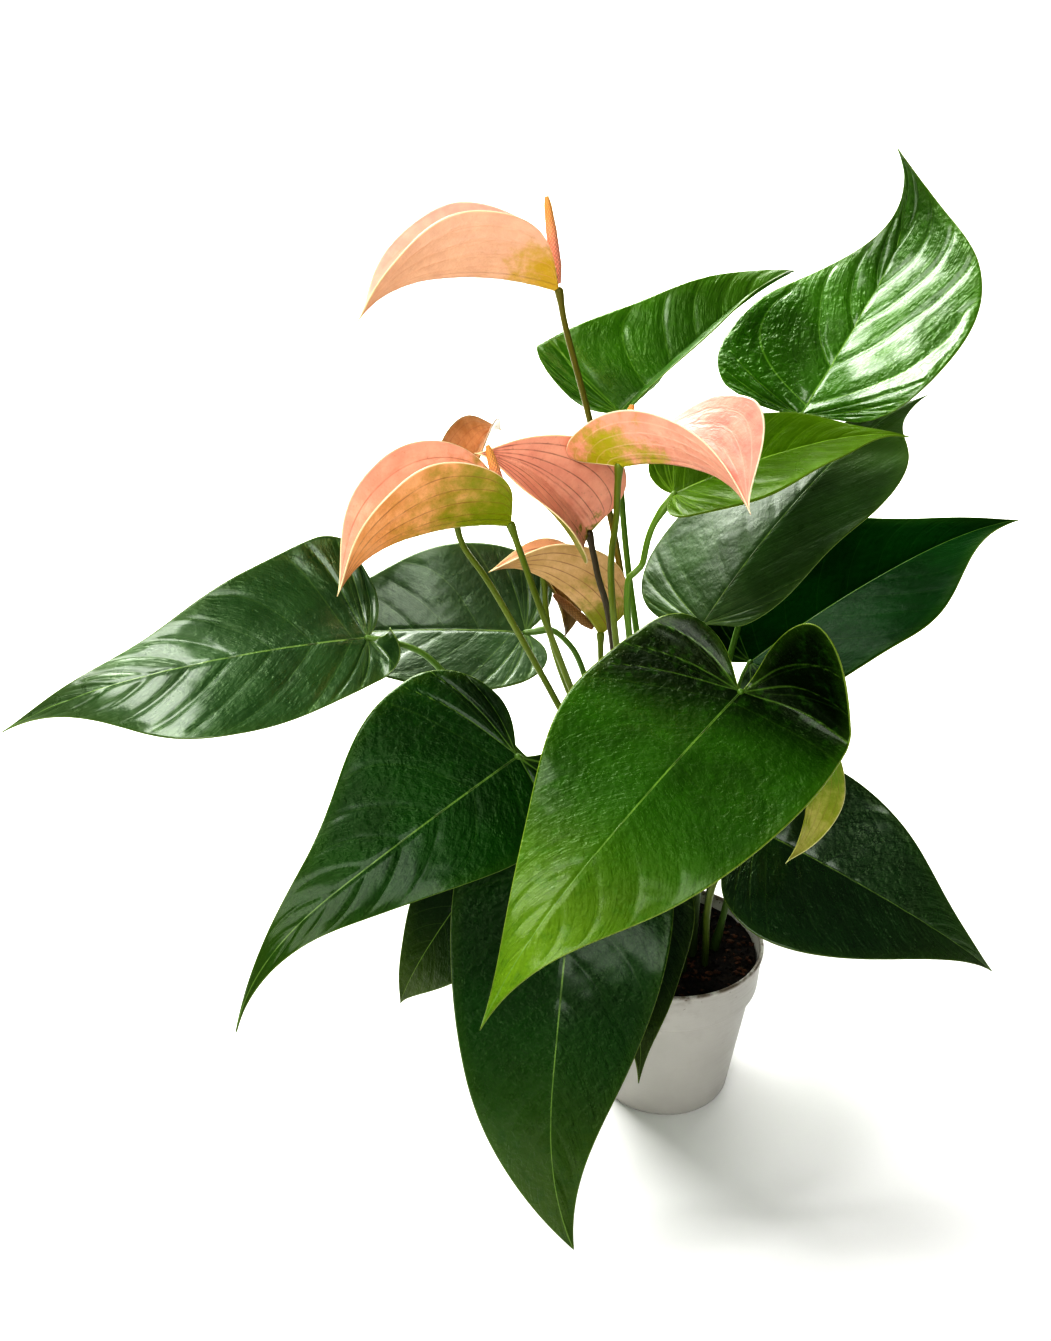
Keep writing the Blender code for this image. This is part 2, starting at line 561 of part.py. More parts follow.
def main():
    for obj in list(bpy.data.objects):
        bpy.data.objects.remove(obj)
    plant = new_collection("potted_anthurium")
    petioles = new_collection("petiole_guides")
    drains = new_collection("drain_cutters")
    sockets = new_collection("stem_cutters")
    make_pot(plant, drains)
    make_soil(plant, sockets)
    for number, (name, details) in enumerate(LEAVES.items()):
        make_leaf(name, details, number, plant, petioles)
    for number, (name, details) in enumerate(BLOOMS.items()):
        make_bloom(name, details, number, plant)


main()
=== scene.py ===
"""Looks of the potted anthurium: fine leaves, blooms, stems, pot and soil.

Places and lengths are in millimetres unless a line says otherwise: +Z up, -Y towards the camera.
"""

import bpy
import numpy as np
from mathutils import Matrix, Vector


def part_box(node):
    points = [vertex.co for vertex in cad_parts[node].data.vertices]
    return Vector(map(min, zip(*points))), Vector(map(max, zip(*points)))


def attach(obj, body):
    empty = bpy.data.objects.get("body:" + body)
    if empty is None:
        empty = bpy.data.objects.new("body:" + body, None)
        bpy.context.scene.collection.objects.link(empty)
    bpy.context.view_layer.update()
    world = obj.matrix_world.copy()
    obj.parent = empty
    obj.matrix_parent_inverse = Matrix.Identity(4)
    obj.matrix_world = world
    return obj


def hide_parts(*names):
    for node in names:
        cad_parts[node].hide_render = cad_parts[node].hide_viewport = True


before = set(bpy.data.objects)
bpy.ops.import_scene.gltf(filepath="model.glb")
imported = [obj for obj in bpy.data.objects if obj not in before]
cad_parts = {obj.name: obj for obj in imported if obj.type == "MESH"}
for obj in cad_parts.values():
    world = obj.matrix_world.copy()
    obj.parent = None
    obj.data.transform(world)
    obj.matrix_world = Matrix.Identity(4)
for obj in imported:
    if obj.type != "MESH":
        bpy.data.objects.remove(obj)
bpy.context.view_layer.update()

MM = 0.001    # one millimetre in metres

# Camera, placed in metres
CAMERA_PLACE = (-0.09, -0.68, 0.602)
CAMERA_PITCH = 24.5       # degrees below level
CAMERA_LENS = 35.0
CAMERA_SENSOR = 36.0

# Lights: place and aim in metres, width and height, and power in watts
WORLD_LIGHT = 0.14
LIGHTS = dict(
    key=((-0.9, 1.3, 1.7), (0.0, 0.0, 0.3), (1.1, 1.1), 36.0),
    top=((-0.93, -0.53, 1.97), (-0.2, 0.0, 0.3), (0.7, 0.7), 12.0),
    fill=((-0.4, -2.0, 1.3), (0.0, 0.0, 0.3), (1.4, 1.0), 18.0),
    wash=((0.0, 1.3, 2.3), (0.0, 3.4, 0.5), (3.0, 0.6), 130.0),
)

# Floor and backdrop, in metres
FLOOR_FRONT = -4.0
FLOOR_DEPTH = 2.6
FLOOR_BEND = 1.0
FLOOR_HALF_WIDTH = 5.0
BACKDROP_HEIGHT = 3.2

# Sizes of the fine surfaces
LEAF_PITCH = 1.65         # spacing of a leaf's grid
SPATHE_PITCH = 1.1        # the same in a spathe
LEAF_THICKNESS = 0.7
SPATHE_THICKNESS = 0.6
PETIOLE_RADIUS = (2.4, 1.7)
STEM_RADIUS = (2.3, 1.6)
SPADIX_RADIUS = 3.0
SPADIX_STEP = 0.32        # spacing of the rings in a spadix
SPADIX_SIDES = 56
FLORETS_ROUND = 9
FLORET_HEIGHT = 0.42
STALK_STEP = 2.5          # spacing of the rings in a stalk
STALK_SIDES = 14
STEM_STEPS = 12           # spans of a stem's centre line
END_BENDS = (70, 45, 22)  # degrees at which the rings of a round end stand
HOLE_DEPTH = 12.0
GAP = 0.3                 # between a stem's end and the bottom of its hole

# Shape of a leaf, in lengths of its blade, with angles in degrees.
# A pair gives the left and the right half, as seen from above with the tip ahead.
LEAF_SHAPE = dict(
    halves=(0.33, 0.33),    # width of each half
    lobe=0.2,               # how far each lobe reaches behind the junction
    widest=0.16,            # where the half is widest
    sinus=38.0,             # angle at which the lobe's inner edge leaves the junction
    belly=0.34,             # how long the half keeps its width
    acumen=0.28,            # length of the drawn-out tip
    neck=0.035,             # half width of the blade where that tip starts
    corner=0.45,            # how far the lobe's hindmost corner is from the midrib, in half widths
    arch=-25.0,             # bend of the midrib along its length
    sway=0.0,               # sideways turn of the last part towards the left half
    tip_bend=-15.0,         # further bend of the last part
    fold=(12.0, 12.0),      # rise of each half from the midrib, at the junction
    fold_tip=None,          # the same at the tip, where it differs
    curl=(0.0, 0.0),        # further rise towards the margin
    lift=(10.0, 10.0),      # rise of each lobe behind the junction
    lift_reach=1.0,         # share of the lobe over which it rises
    wave=0.01,              # height of the waves along the margin
    waves=2.5,
)

# How much further along the waves of the margin the next leaf or spathe starts
LEAF_PHASE = 0.17
SPATHE_PHASE = 0.31

# Share of the margin whose rows all start at the junction
FAN = 0.22

# How much further out than its hindmost corner the lobe's shoulder is, in half widths
LOBE_SHOULDER = 0.33

# A spathe is a smaller leaf-like bract folded up along its keel
SPATHE_SHAPE = dict(
    LEAF_SHAPE, halves=(0.36, 0.36), lobe=-0.04, widest=0.38, sinus=25.0, belly=0.45, acumen=0.2,
    arch=-40.0, tip_bend=-30.0, fold=(50.0, 50.0), curl=(20.0, 20.0), lift=(0.0, 0.0), wave=0.006,
)

# Each leaf: where the petiole meets the blade, the tip, and the way its upper side faces.
# The petiole stands in the soil at hole and either passes through its points or arrives along a direction.
LEAVES = dict(
    leaf_front=dict(
        junction=(16, -100, 326), tip=(-110, -225, 221), face=(-0.1, -0.58, 0.81), halves=(0.3, 0.33),
        lobe=(0.31, 0.11), corner=(0.38, 0.62), sinus=(0, 55), arch=-20, sway=10, fold=(-2, -8),
        curl=(18, 5), lift=(92, 20), lift_reach=0.32, belly=(0.5, 0.34),
        hole=(6, -25), arrive=(0.1, -0.5, 0.8), green=(0.034, 0.106, 0.005)),
    leaf_lower_left=dict(
        junction=(-94, -85, 282), tip=(-234, -165, 169), face=(-0.1, -0.75, 0.65), halves=(0.22, 0.33),
        lobe=(0.2, 0.06), acumen=(0.45, 0.55), widest=0.1, belly=(0.25, 0.35), sinus=(38, 75),
        arch=-20, tip_bend=-25, sway=32, fold=(-15, 5), hole=(-20, -20), arrive=(-0.5, -0.4, 0.7),
        green=(0.011, 0.058, 0.005)),
    leaf_hanging=dict(
        junction=(-64, -100, 235), tip=(-65, -190, 49), face=(-0.15, -0.87, 0.46), halves=(0.26, 0.31),
        lobe=0.14, arch=-15, tip_bend=0, sway=28, fold=(-10, -10), belly=(0.35, 0.55),
        acumen=(0.2, 0.12), neck=0.06, hole=(-9, -30), via=[(-30, -38, 160), (-45, -57, 218)],
        green=(0.009, 0.046, 0.005)),
    leaf_hanging_rear=dict(
        junction=(-32, -57, 190), tip=(-26, -105, 83), face=(0.3, -0.85, 0.3), halves=(0.3, 0.26),
        lobe=0.1, arch=-15, hole=(-4, -17), arrive=(-0.3, -0.8, 0.3), green=(0.006, 0.024, 0.004)),
    leaf_low_left=dict(
        junction=(-105, -40, 197), tip=(-164, -60, 103), face=(-0.3, -0.6, 0.7), halves=(0.42, 0.25),
        belly=0.5, acumen=0.15, hole=(-29, -9), arrive=(-0.9, -0.2, 0.2), green=(0.006, 0.024, 0.004)),
    leaf_low_right=dict(
        junction=(51, 0, 186), tip=(196, -30, 103), face=(0.19, -0.76, 0.62), halves=(0.32, 0.36),
        lobe=(0.18, 0.06), hole=(29, -3), arrive=(0.5, 0, 0.8), green=(0.01, 0.044, 0.008)),
    leaf_mid_right=dict(
        junction=(48, 50, 275), tip=(219, 100, 350), face=(-0.3, -0.4, 0.87), halves=(0.33, 0.32),
        lobe=0.1, widest=(0.25, 0.38), hole=(25, 14), arrive=(0.4, 0.3, 0.8),
        green=(0.004, 0.042, 0.004)),
    leaf_big_right=dict(
        junction=(7, -20, 329), tip=(139, 60, 437), face=(-0.5, -0.28, 0.82), halves=(0.38, 0.21),
        lobe=(0.04, -0.04), lift=(-30, -30), fold=(0, -15), widest=(0.16, 0.6), belly=(0.34, 0.6),
        hole=(14, -10), arrive=(0, 0, 1), green=(0.046, 0.09, 0.028)),
    leaf_top_right=dict(
        junction=(68, 62, 425), tip=(125, 130, 564), face=(-0.5, -0.65, 0.55), halves=(0.38, 0.42),
        lobe=(0.03, 0.0), acumen=(0.45, 0.3), neck=(0.0, 0.1), widest=(0.15, 0.35), belly=(0.45, 0.6),
        arch=15, tip_bend=55, sway=28, hole=(15, 4), via=[(23, 36, 220), (50, 61, 340)],
        green=(0.05, 0.15, 0.003)),
    leaf_top_middle=dict(
        junction=(-36, 60, 427), tip=(70, 122, 497), face=(-0.1, -0.68, 0.72), halves=(0.44, 0.36),
        lobe=(0.1, 0.06), fold=(10, 62), widest=(-0.03, 0.2), belly=(0.0, 0.6), acumen=(0.3, 0.22),
        neck=(0.17, 0.1), hole=(-3, 20), arrive=(0, 0.2, 1), green=(0.052, 0.15, 0.003)),
    leaf_young=dict(
        junction=(-12, -20, 403), tip=(114, 0, 428), face=(-0.15, -0.35, 0.93), halves=(0.3, 0.29),
        lobe=0.06, widest=(0.16, 0.3), hole=(5, -2),
        via=[(-34, -26, 329), (-28, -26, 366), (-23, -23, 386)], green=(0.085, 0.17, 0.002)),
    leaf_far_left=dict(
        junction=(-177, -20, 321), tip=(-370, -60, 283), face=(-0.06, -0.52, 0.85), halves=(0.22, 0.31),
        lobe=(0.11, 0.06), corner=(0.2, 0.45), sinus=(20, 38), fold=(-10, 0), curl=(0, 45), lift=(130, 30),
        acumen=0.35, widest=(0.42, 0.08), belly=(0.4, 0.1), hole=(-32, 2),
        via=[(-69, 0, 207), (-93, -5, 240), (-127, -12, 285), (-149, -16, 311)],
        green=(0.03, 0.08, 0.02)),
    leaf_left_rear=dict(
        junction=(-90, 40, 299), tip=(-269, 80, 267), face=(-0.25, -0.55, 0.78), halves=(0.25, 0.3),
        lobe=0.08, hole=(-23, 22), via=[(-50, 35, 256), (-69, 40, 297)], green=(0.04, 0.076, 0.03)),
    leaf_rear=dict(
        junction=(-5, 80, 215), tip=(20, 235, 125), face=(0.1, 0.5, 0.86), hole=(8, 28),
        arrive=(0, 0.8, 0.5), green=(0.01, 0.04, 0.006)),
)

# Each bloom: the foot and the tip of its spathe, the way the spathe opens, and its spadix's direction
BLOOMS = dict(
    top=dict(
        junction=(-73, 0, 503), tip=(-172, -30, 493), face=(0.1, 0.3, 0.95), lobe=(-0.08, -0.04),
        halves=(0.33, 0.4), fold=(40, 58), curl=(20, 10), spadix=(-0.15, 0.1, 1),
        spadix_length=42, hole=(1, 9), via=[(-33, 18, 328), (-48, 12, 401), (-57, 8, 440), (-69, 2, 483)]),
    left=dict(
        junction=(-97, -85, 407), tip=(-176, -125, 386), face=(0.1, 0.3, 0.95), halves=(0.37, 0.46),
        fold=(50, 58), spadix=(-0.3, 0.2, 1), spadix_length=34, hole=(-16, -7),
        via=[(-45, -26, 242), (-65, -45, 301), (-83, -68, 359)]),
    left_rear=dict(
        junction=(-125, -60, 403), tip=(-103, 10, 429), face=(0, 0, 1), halves=(0.27, 0.27),
        spadix=(0, 0.3, 1), spadix_length=24, hole=(-28, 13),
        via=[(-52, -12, 234), (-69, -20, 275), (-106, -42, 356), (-121, -54, 385)]),
    centre=dict(
        junction=(-57, -35, 386), tip=(-115, -62, 436), face=(0.2, -0.5, 0.8), halves=(0.44, 0.4),
        fold=(-20, 50), fold_tip=(5, 50), curl=(60, 20), widest=(0.38, 0.3), spadix=(-0.45, -0.1, 0.9),
        spadix_length=36, hole=(-19, 4), via=[(-41, -22, 309), (-52, -33, 363)]),
    right=dict(
        junction=(-45, -68, 431), tip=(10, -125, 425), face=(0, 0.3, 0.95), lobe=(0.0, 0.3),
        halves=(0.46, 0.33), widest=(0.65, 0.2), fold=(25, 50), fold_tip=(82, 50),
        spadix=(0.2, 0.1, 1), spadix_length=26, hole=(-5, -5),
        via=[(-43, -45, 337), (-45, -62, 406)]),
    low=dict(
        junction=(-47, 8, 311), tip=(-110, -22, 360), face=(0, 0.2, 1), spadix=(-0.75, 0.1, 0.65),
        spadix_length=30, hole=(-10, 9), arrive=(0, 0, 1)),
    faded=dict(
        junction=(68, -28, 259), tip=(58, -50, 194), face=(0.6, 0.5, 0.3), halves=(0.3, 0.3),
        spadix=(0.5, 0.1, -0.8), spadix_length=26, hole=(21, -20),
        via=[(20, -36, 170), (43, -40, 225)]),
    spent=dict(
        junction=(-79, 30, 337), tip=(-67, 30, 300), face=(0.5, -0.5, 0.5), fold_tip=(15, 15),
        spadix=(0.7, 0.3, -0.6), spadix_length=16, hole=(-13, 18), arrive=(0, 0, 1)),
)

# Colours, in linear light
LEAF_YELLOW = (0.3, 0.42, 0.03)
VEIN_PALE = (0.3, 0.4, 0.11)
RIM_PALE = (0.26, 0.34, 0.06)
LEAF_SHEEN = (0.8, 1.00, 0.62)
LEAF_UNDER_PALE = (0.2, 0.3, 0.1)
PETIOLE_GREEN = (0.16, 0.26, 0.045)
STALK_SPECK = (0.06, 0.045, 0.02)
SOIL_DARK = (0.006, 0.004, 0.003)
SOIL_LIGHT = (0.03, 0.019, 0.012)
BARK_BROWN = (0.12, 0.055, 0.028)
POT_WHITE = (0.52, 0.505, 0.47)
POT_DIRT = (0.11, 0.075, 0.045)
FLOOR_PALE = (0.88, 0.875, 0.865)

# Veins and relief: heights, depths and half widths
LONG_VEINS = 5                    # long veins in each half of a spathe
BASAL_VEINS = (0.06, 0.13, 0.2)   # where veins leave the junction, in shares of the margin
SPATHE_QUILT = 0.25
VEIN_WIDTH = 1.6
BULGE_WIDTH = 4.0
MIDRIB_WIDTH = 1.4
MIDRIB_DEPTH = 0.45
BASAL_DEPTH = 0.3
WOBBLE = 0.07
RIB_RADIUS = (1.25, 0.25)         # ridge under the midrib, at its start and its end
RIB_SINK = 0.1
RIB_SIDES = 8

# Swellings of a stalk, as height, distance from its end and length
KNUCKLE = (0.7, 9.0, 6.0)         # a petiole's, under the blade
SHEATH = (1.1, HOLE_DEPTH, 14.0)  # at its foot
COLLAR = (0.7, 0.0, 5.0)          # a flower stem's, under the spathe

# Looks of a leaf, and the leaves that differ from them
LEAF_LOOK = dict(
    veins=12,               # side veins in each half
    vein_show=0.3,          # how far they stand out in colour
    vein_lean=0.1,          # how far they lean towards the tip, in lengths of the blade
    quilt=0.2,              # height of the blade between them, in millimetres
    groove=1.0,             # depth of the veins that leave the junction
    shine=1.0,              # strength of the waxy gloss
    lobe_painted_shade=0.55,        # how far the lobes' green is darkened as painted shade
    lobe_end=0.26,          # share of the margin over which that fades
    tip_shade=0.25,         # how much yellower the green of the tip is, or darker where negative
    basal_show=0.4,         # how far the veins that leave the junction stand out in colour
    streak=0.8,             # depth of the fine streaks along the side veins, in millimetres
    grain=1.0,              # strength of the leathery grain
    rim_show=0.4,           # how far the pale rim stands out
)
LEAF_LOOKS = dict(
    leaf_front=dict(lobe_painted_shade=0.92, lobe_end=0.36, vein_show=0.12, tip_shade=1.0, shine=0.9, grain=0.9,
                    rim_show=0.8),
    leaf_lower_left=dict(lobe_painted_shade=0.6, groove=4.0, shine=1.4, vein_show=0.15, basal_show=0.8, quilt=0.3),
    leaf_hanging=dict(quilt=0.25, shine=1.5, vein_show=0.12, grain=1.3),
    leaf_low_right=dict(shine=2.6, vein_show=0.12, quilt=0.35, tip_shade=0.1, lobe_painted_shade=0.2),
    leaf_mid_right=dict(quilt=0.1, shine=0.12, vein_show=0.12, grain=0.4, streak=0.4, tip_shade=0.0),
    leaf_big_right=dict(quilt=0.14, shine=1.0, vein_show=0.12, lobe_painted_shade=0.0, streak=0.3, grain=0.25),
    leaf_top_right=dict(veins=8, vein_lean=0.2, vein_show=1.0, basal_show=1.0, quilt=1.2, groove=4.0,
                        shine=1.9, lobe_painted_shade=0.0, streak=1.6, tip_shade=-0.5, grain=1.2),
    leaf_top_middle=dict(veins=9, vein_show=0.6, basal_show=0.8, quilt=0.8, groove=4.0, shine=2.0,
                         lobe_painted_shade=0.0, streak=1.2, grain=0.4),
    leaf_young=dict(vein_show=0.5, quilt=0.3, lobe_painted_shade=0.2, shine=0.5, grain=0.3, streak=0.4),
    leaf_far_left=dict(quilt=0.45, shine=3.0, groove=3.0, streak=0.6, lobe_painted_shade=0.2, grain=0.4,
                       tip_shade=0.1),
    leaf_left_rear=dict(quilt=0.2, lobe_painted_shade=0.0, shine=1.2, grain=0.3, streak=0.3),
)

# Looks of a bloom, and the blooms that differ from them
BLOOM_LOOK = dict(
    outer=(0.9, 0.54, 0.29), inner=(0.88, 0.42, 0.3), foot=(0.38, 0.4, 0.03),
    rim=(0.9, 0.72, 0.44), vein=(0.42, 0.15, 0.08), vein_share=0.4, foot_reach=0.3,
    # The flower stems' foot colour is darkened with painted shade near the soil
    inner_foot=0.5, shaded_stem_foot=(0.055, 0.085, 0.012), stem_top=(0.17, 0.22, 0.02),
    spadix_foot=(0.86, 0.41, 0.29), spadix_tip=(0.88, 0.48, 0.12))
BLOOM_LOOKS = dict(
    top=dict(outer=(0.95, 0.58, 0.4), inner=(0.94, 0.5, 0.39), vein=(0.82, 0.42, 0.24),
             foot=(0.68, 0.46, 0.06), foot_reach=0.35, stem_top=(0.17, 0.16, 0.015)),
    left=dict(outer=(0.9, 0.42, 0.16), inner=(0.88, 0.44, 0.31), vein=(0.24, 0.07, 0.03),
              vein_share=0.45, foot=(0.27, 0.31, 0.006), foot_reach=0.75, inner_foot=0.65),
    left_rear=dict(outer=(0.4, 0.32, 0.03), inner=(0.56, 0.3, 0.13), foot=(0.24, 0.26, 0.015),
                   rim=(0.32, 0.2, 0.07), foot_reach=0.5),
    centre=dict(outer=(0.33, 0.34, 0.015), inner=(0.9, 0.42, 0.3), vein=(0.16, 0.05, 0.03),
                vein_share=0.65, foot=(0.28, 0.28, 0.02), foot_reach=0.3,
                stem_top=(0.08, 0.06, 0.028), spadix_foot=(0.62, 0.2, 0.07),
                spadix_tip=(0.2, 0.1, 0.035)),
    right=dict(outer=(0.86, 0.41, 0.29), inner=(0.76, 0.34, 0.27), vein=(0.95, 0.68, 0.5),
               foot=(0.48, 0.45, 0.03), rim=(0.93, 0.8, 0.56), foot_reach=0.4),
    low=dict(outer=(0.64, 0.42, 0.19), inner=(0.95, 0.6, 0.42), vein=(0.26, 0.09, 0.05),
             vein_share=0.65, foot=(0.3, 0.3, 0.03), foot_reach=0.45,
             spadix_foot=(0.3, 0.17, 0.06), spadix_tip=(0.22, 0.11, 0.04)),
    faded=dict(outer=(0.34, 0.38, 0.035), inner=(0.44, 0.42, 0.06), rim=(0.7, 0.68, 0.33),
               vein=(0.3, 0.22, 0.06), foot=(0.17, 0.27, 0.012), foot_reach=0.7,
               spadix_foot=(0.3, 0.16, 0.06), spadix_tip=(0.18, 0.1, 0.05)),
    spent=dict(outer=(0.18, 0.14, 0.03), inner=(0.24, 0.15, 0.04), rim=(0.26, 0.18, 0.06),
               vein=(0.12, 0.05, 0.02), foot=(0.16, 0.12, 0.03),
               spadix_foot=(0.15, 0.08, 0.04), spadix_tip=(0.1, 0.06, 0.03)))

# Pot, as radii and heights from the middle of its floor, up its inside and down its outside
POT_PROFILE = [
    (0.0, 2.0), (41.0, 2.0), (52.5, 84.0), (54.9, 86.5), (57.2, 105.5), (57.9, 106.6), (58.4, 107.0),
    (59.4, 107.0), (59.9, 106.5), (60.0, 105.9), (60.0, 104.4), (59.6, 103.8), (59.2, 103.4), (57.7, 81.5),
    (57.5, 80.4), (57.0, 79.8), (55.0, 79.3), (54.3, 78.6), (54.1, 77.4), (43.4, 4.0), (43.1, 2.2),
    (42.5, 0.9), (41.5, 0.0), (39.5, 0.0), (39.0, 0.6), (0.0, 0.6)]
POT_SIDES = 128
POT_CREASE = 50           # degrees above which an edge stays sharp
DRAIN_HOLES = 6
DRAIN_RADIUS = 3.5
DRAIN_RING = 30.0
DRAIN_SIDES = 24

# Soil
SOIL_CROWN = 101.0
SOIL_RADIUS = 55.2
SOIL_RINGS = 70
SOIL_SIDES = 200
CRUMBS = 520
CRUMB_REACH = 54.0
CRUMB_SIZES = (0.5, 1.6)
BARK_SHARE = 0.35
BARK_SIZES = (1.0, 3.2)


def unit(vector):
    vector = np.asarray(vector, float)
    return vector / np.linalg.norm(vector)


def one_side(value, side):
    return value[side] if isinstance(value, tuple) else value


def bezier(p0, p1, p2, p3, count):
    t = np.linspace(0, 1, count)[:, None]
    p0, p1, p2, p3 = (np.asarray(p, float) for p in (p0, p1, p2, p3))
    return (1 - t) ** 3 * p0 + 3 * (1 - t) ** 2 * t * p1 + 3 * (1 - t) * t ** 2 * p2 + t ** 3 * p3


def distances(points):
    """How far along a line each of its points lies."""
    return np.r_[0, np.cumsum(np.linalg.norm(np.diff(points, axis=0), axis=1))]


def evenly(points, count):
    """The same line with evenly spaced points."""
    along = distances(points)
    at = np.linspace(0, along[-1], count)
    return np.column_stack([np.interp(at, along, column) for column in points.T])


def smooth_path(points, per_span):
    """A smooth curve through the points."""
    p = np.array(points, float)
    p = np.vstack([2 * p[0] - p[1], p, 2 * p[-1] - p[-2]])
    t = np.linspace(0, 1, per_span, endpoint=False)[:, None]
    spans = []
    for i in range(1, len(p) - 2):
        a, b, c, d = p[i - 1:i + 3]
        spans.append(0.5 * (2 * b + (c - a) * t + (2 * a - 5 * b + 4 * c - d) * t ** 2
                            + (3 * b - a - 3 * c + d) * t ** 3))
    return np.vstack(spans + [p[-2:-1]])


def half_margin(shape, side):
    """Flat outline of one half: the lobe's inner edge out of the junction, and the margin on to the tip."""
    keys = ("halves", "lobe", "widest", "sinus", "belly", "acumen", "neck", "corner")
    half, lobe, widest, sinus, belly, acumen, neck, inset = (one_side(shape[key], side) for key in keys)
    angle = np.radians(sinus)
    corner = np.array([-lobe, inset * half])
    outset = inset + LOBE_SHOULDER
    shoulder = (-lobe * (1.0 if lobe > 0 else outset / inset), outset * half)
    wide = (widest, half)
    inner = bezier((0, 0), (-0.5 * lobe * np.cos(angle), 0.5 * lobe * np.sin(angle)),
                   (-lobe, 0.5 * inset * half), corner, 40)
    bow = (evenly(inner, 40) - np.linspace(0, 1, 40)[:, None] * corner) * (lobe > 0)
    round_lobe = bezier(corner, shoulder, (widest - 0.5 * (widest + lobe), half), wide, 40)
    outer = bezier(wide, (widest + belly * (1 - widest), half), (1 - acumen, neck), (1, 0), 80)
    edge = np.vstack([round_lobe, outer[1:]])
    along = distances(edge)
    return bow, along / along[-1], edge


def flat_half(shape, side, u, v):
    """Flat place on one half: u runs from the lobe's inner edge to the tip, v from midrib to margin."""
    bow, along_margin, edge = half_margin(shape, side)
    anchor = np.clip((u - FAN) / (1 - FAN), 0, 1)
    near_sinus = np.clip(1 - u / FAN, 0, 1)
    bow_x, bow_y = (near_sinus * np.interp(v, np.linspace(0, 1, len(bow)), bow[:, k]) for k in (0, 1))
    x = anchor + (np.interp(u, along_margin, edge[:, 0]) - anchor) * v + bow_x
    y = np.interp(u, along_margin, edge[:, 1]) * v + bow_y
    return x, y


def midrib(shape, side):
    """Stations along the midrib and behind it, with their points and their left and up axes."""
    lobe = max(one_side(shape["lobe"], side), 0.01)
    back = np.linspace(-1.15 * lobe, 0, 24)[:-1]
    x = np.r_[back, np.linspace(0, 1, 81)]
    last_part = np.clip((x - 0.55) / 0.45, 0, 1) ** 1.5
    pitch = np.radians(np.where(x >= 0, shape["arch"] * x + shape["tip_bend"] * last_part,
                                shape["lift"][side] * np.maximum(x / (lobe * shape["lift_reach"]), -1)))
    turn = np.radians(shape["sway"]) * last_part
    along = np.column_stack([np.cos(pitch) * np.cos(turn), np.sin(turn), np.sin(pitch) * np.cos(turn)])
    up = np.column_stack([-np.sin(pitch), np.zeros_like(pitch), np.cos(pitch)])
    left = np.cross(up, along)
    steps = np.diff(x)[:, None] * (along[1:] + along[:-1]) / 2
    points = np.vstack([[0, 0, 0], np.cumsum(steps, axis=0)])
    points -= points[len(back)]
    return x, points, left, up


def bent_half(shape, side, u, v):
    """Points of one half, bent along its midrib, folded and curled."""
    x, y = flat_half(shape, side, u, v)
    stations, points, left, up = midrib(shape, side)
    base, left, up = (np.column_stack([np.interp(x, stations, table[:, k]) for k in range(3)])
                      for table in (points, left, up))
    fold_start = shape["fold"][side]
    fold_end = (shape["fold_tip"] or shape["fold"])[side]
    fold = np.radians(fold_start + (fold_end - fold_start) * np.clip(x, 0, 1))
    bend = np.radians(shape["curl"][side]) / shape["halves"][side]
    bend = bend if abs(bend) > 1e-6 else 1e-6
    out = (np.sin(fold + bend * y) - np.sin(fold)) / bend
    rise = (np.cos(fold) - np.cos(fold + bend * y)) / bend
    turn = 2 * np.pi * (shape["waves"] * u + shape["phase"] + 0.25 * side)
    rise = rise + shape["wave"] * np.sin(turn) * v ** 2 * np.sqrt(np.sin(np.pi * np.clip(u, 0, 1)))
    sign = 1 if side == 0 else -1
    return base + sign * out[:, None] * left + rise[:, None] * up


def blade_points(shape, u, v):
    """Points of the blade in millimetres; v is positive on the left half and negative on the right."""
    local = np.where((v >= 0)[:, None], bent_half(shape, 0, u, np.abs(v)), bent_half(shape, 1, u, np.abs(v)))
    stations, points, _, up = midrib(shape, 0)
    chord = points[-1]
    e1 = unit(chord)
    mid_up = up[np.searchsorted(stations, 0.35)]
    e3 = unit(mid_up - mid_up.dot(e1) * e1)
    e2 = np.cross(e3, e1)
    junction, tip, face = (np.asarray(shape[key], float) for key in ("junction", "tip", "face"))
    f1 = unit(tip - junction)
    f3 = unit(face - face.dot(f1) * f1)
    f2 = np.cross(f3, f1)
    turn = np.column_stack([f1, f2, f3]) @ np.column_stack([e1, e2, e3]).T
    size = np.linalg.norm(tip - junction) / np.linalg.norm(chord)
    return junction + size * local @ turn.T


def stem_path(shape):
    """Centre line of a stem in millimetres, from the bottom of its hole to the junction."""
    x, y = shape["hole"]
    mouth = np.array([x, y, SOIL_CROWN])
    junction = np.array(shape["junction"], float)
    reach = np.linalg.norm(junction - mouth)
    if "via" in shape:
        points = [mouth, *shape["via"], junction]
        body = smooth_path(points, max(3, round(STEM_STEPS / (len(points) - 1))))
    else:
        body = bezier(mouth, mouth + (0.3 * x, 0.3 * y, 0.45 * reach),
                      junction - 0.35 * reach * unit(shape["arrive"]), junction, STEM_STEPS + 1)
    foot = (x, y, SOIL_CROWN - HOLE_DEPTH + GAP)
    return np.vstack([foot, body])


def wobble(x, y, seed):
    """Smooth uneven values from -1 to 1, about one wave per unit."""
    draw = np.random.default_rng(seed)
    total = np.zeros(np.broadcast(x, y).shape)
    for _ in range(6):
        angle, phase = draw.uniform(0, 2 * np.pi, 2)
        pace = draw.uniform(0.6, 1.6)
        total += np.sin(2 * np.pi * pace * (x * np.cos(angle) + y * np.sin(angle)) + phase)
    return total / 6


def faces_of_grid(rows, columns):
    """Quads of a grid of points numbered row by row."""
    i, j = np.meshgrid(np.arange(rows - 1), np.arange(columns - 1), indexing="ij")
    first = (i * columns + j).ravel()
    return np.column_stack([first, first + columns, first + columns + 1, first + 1])


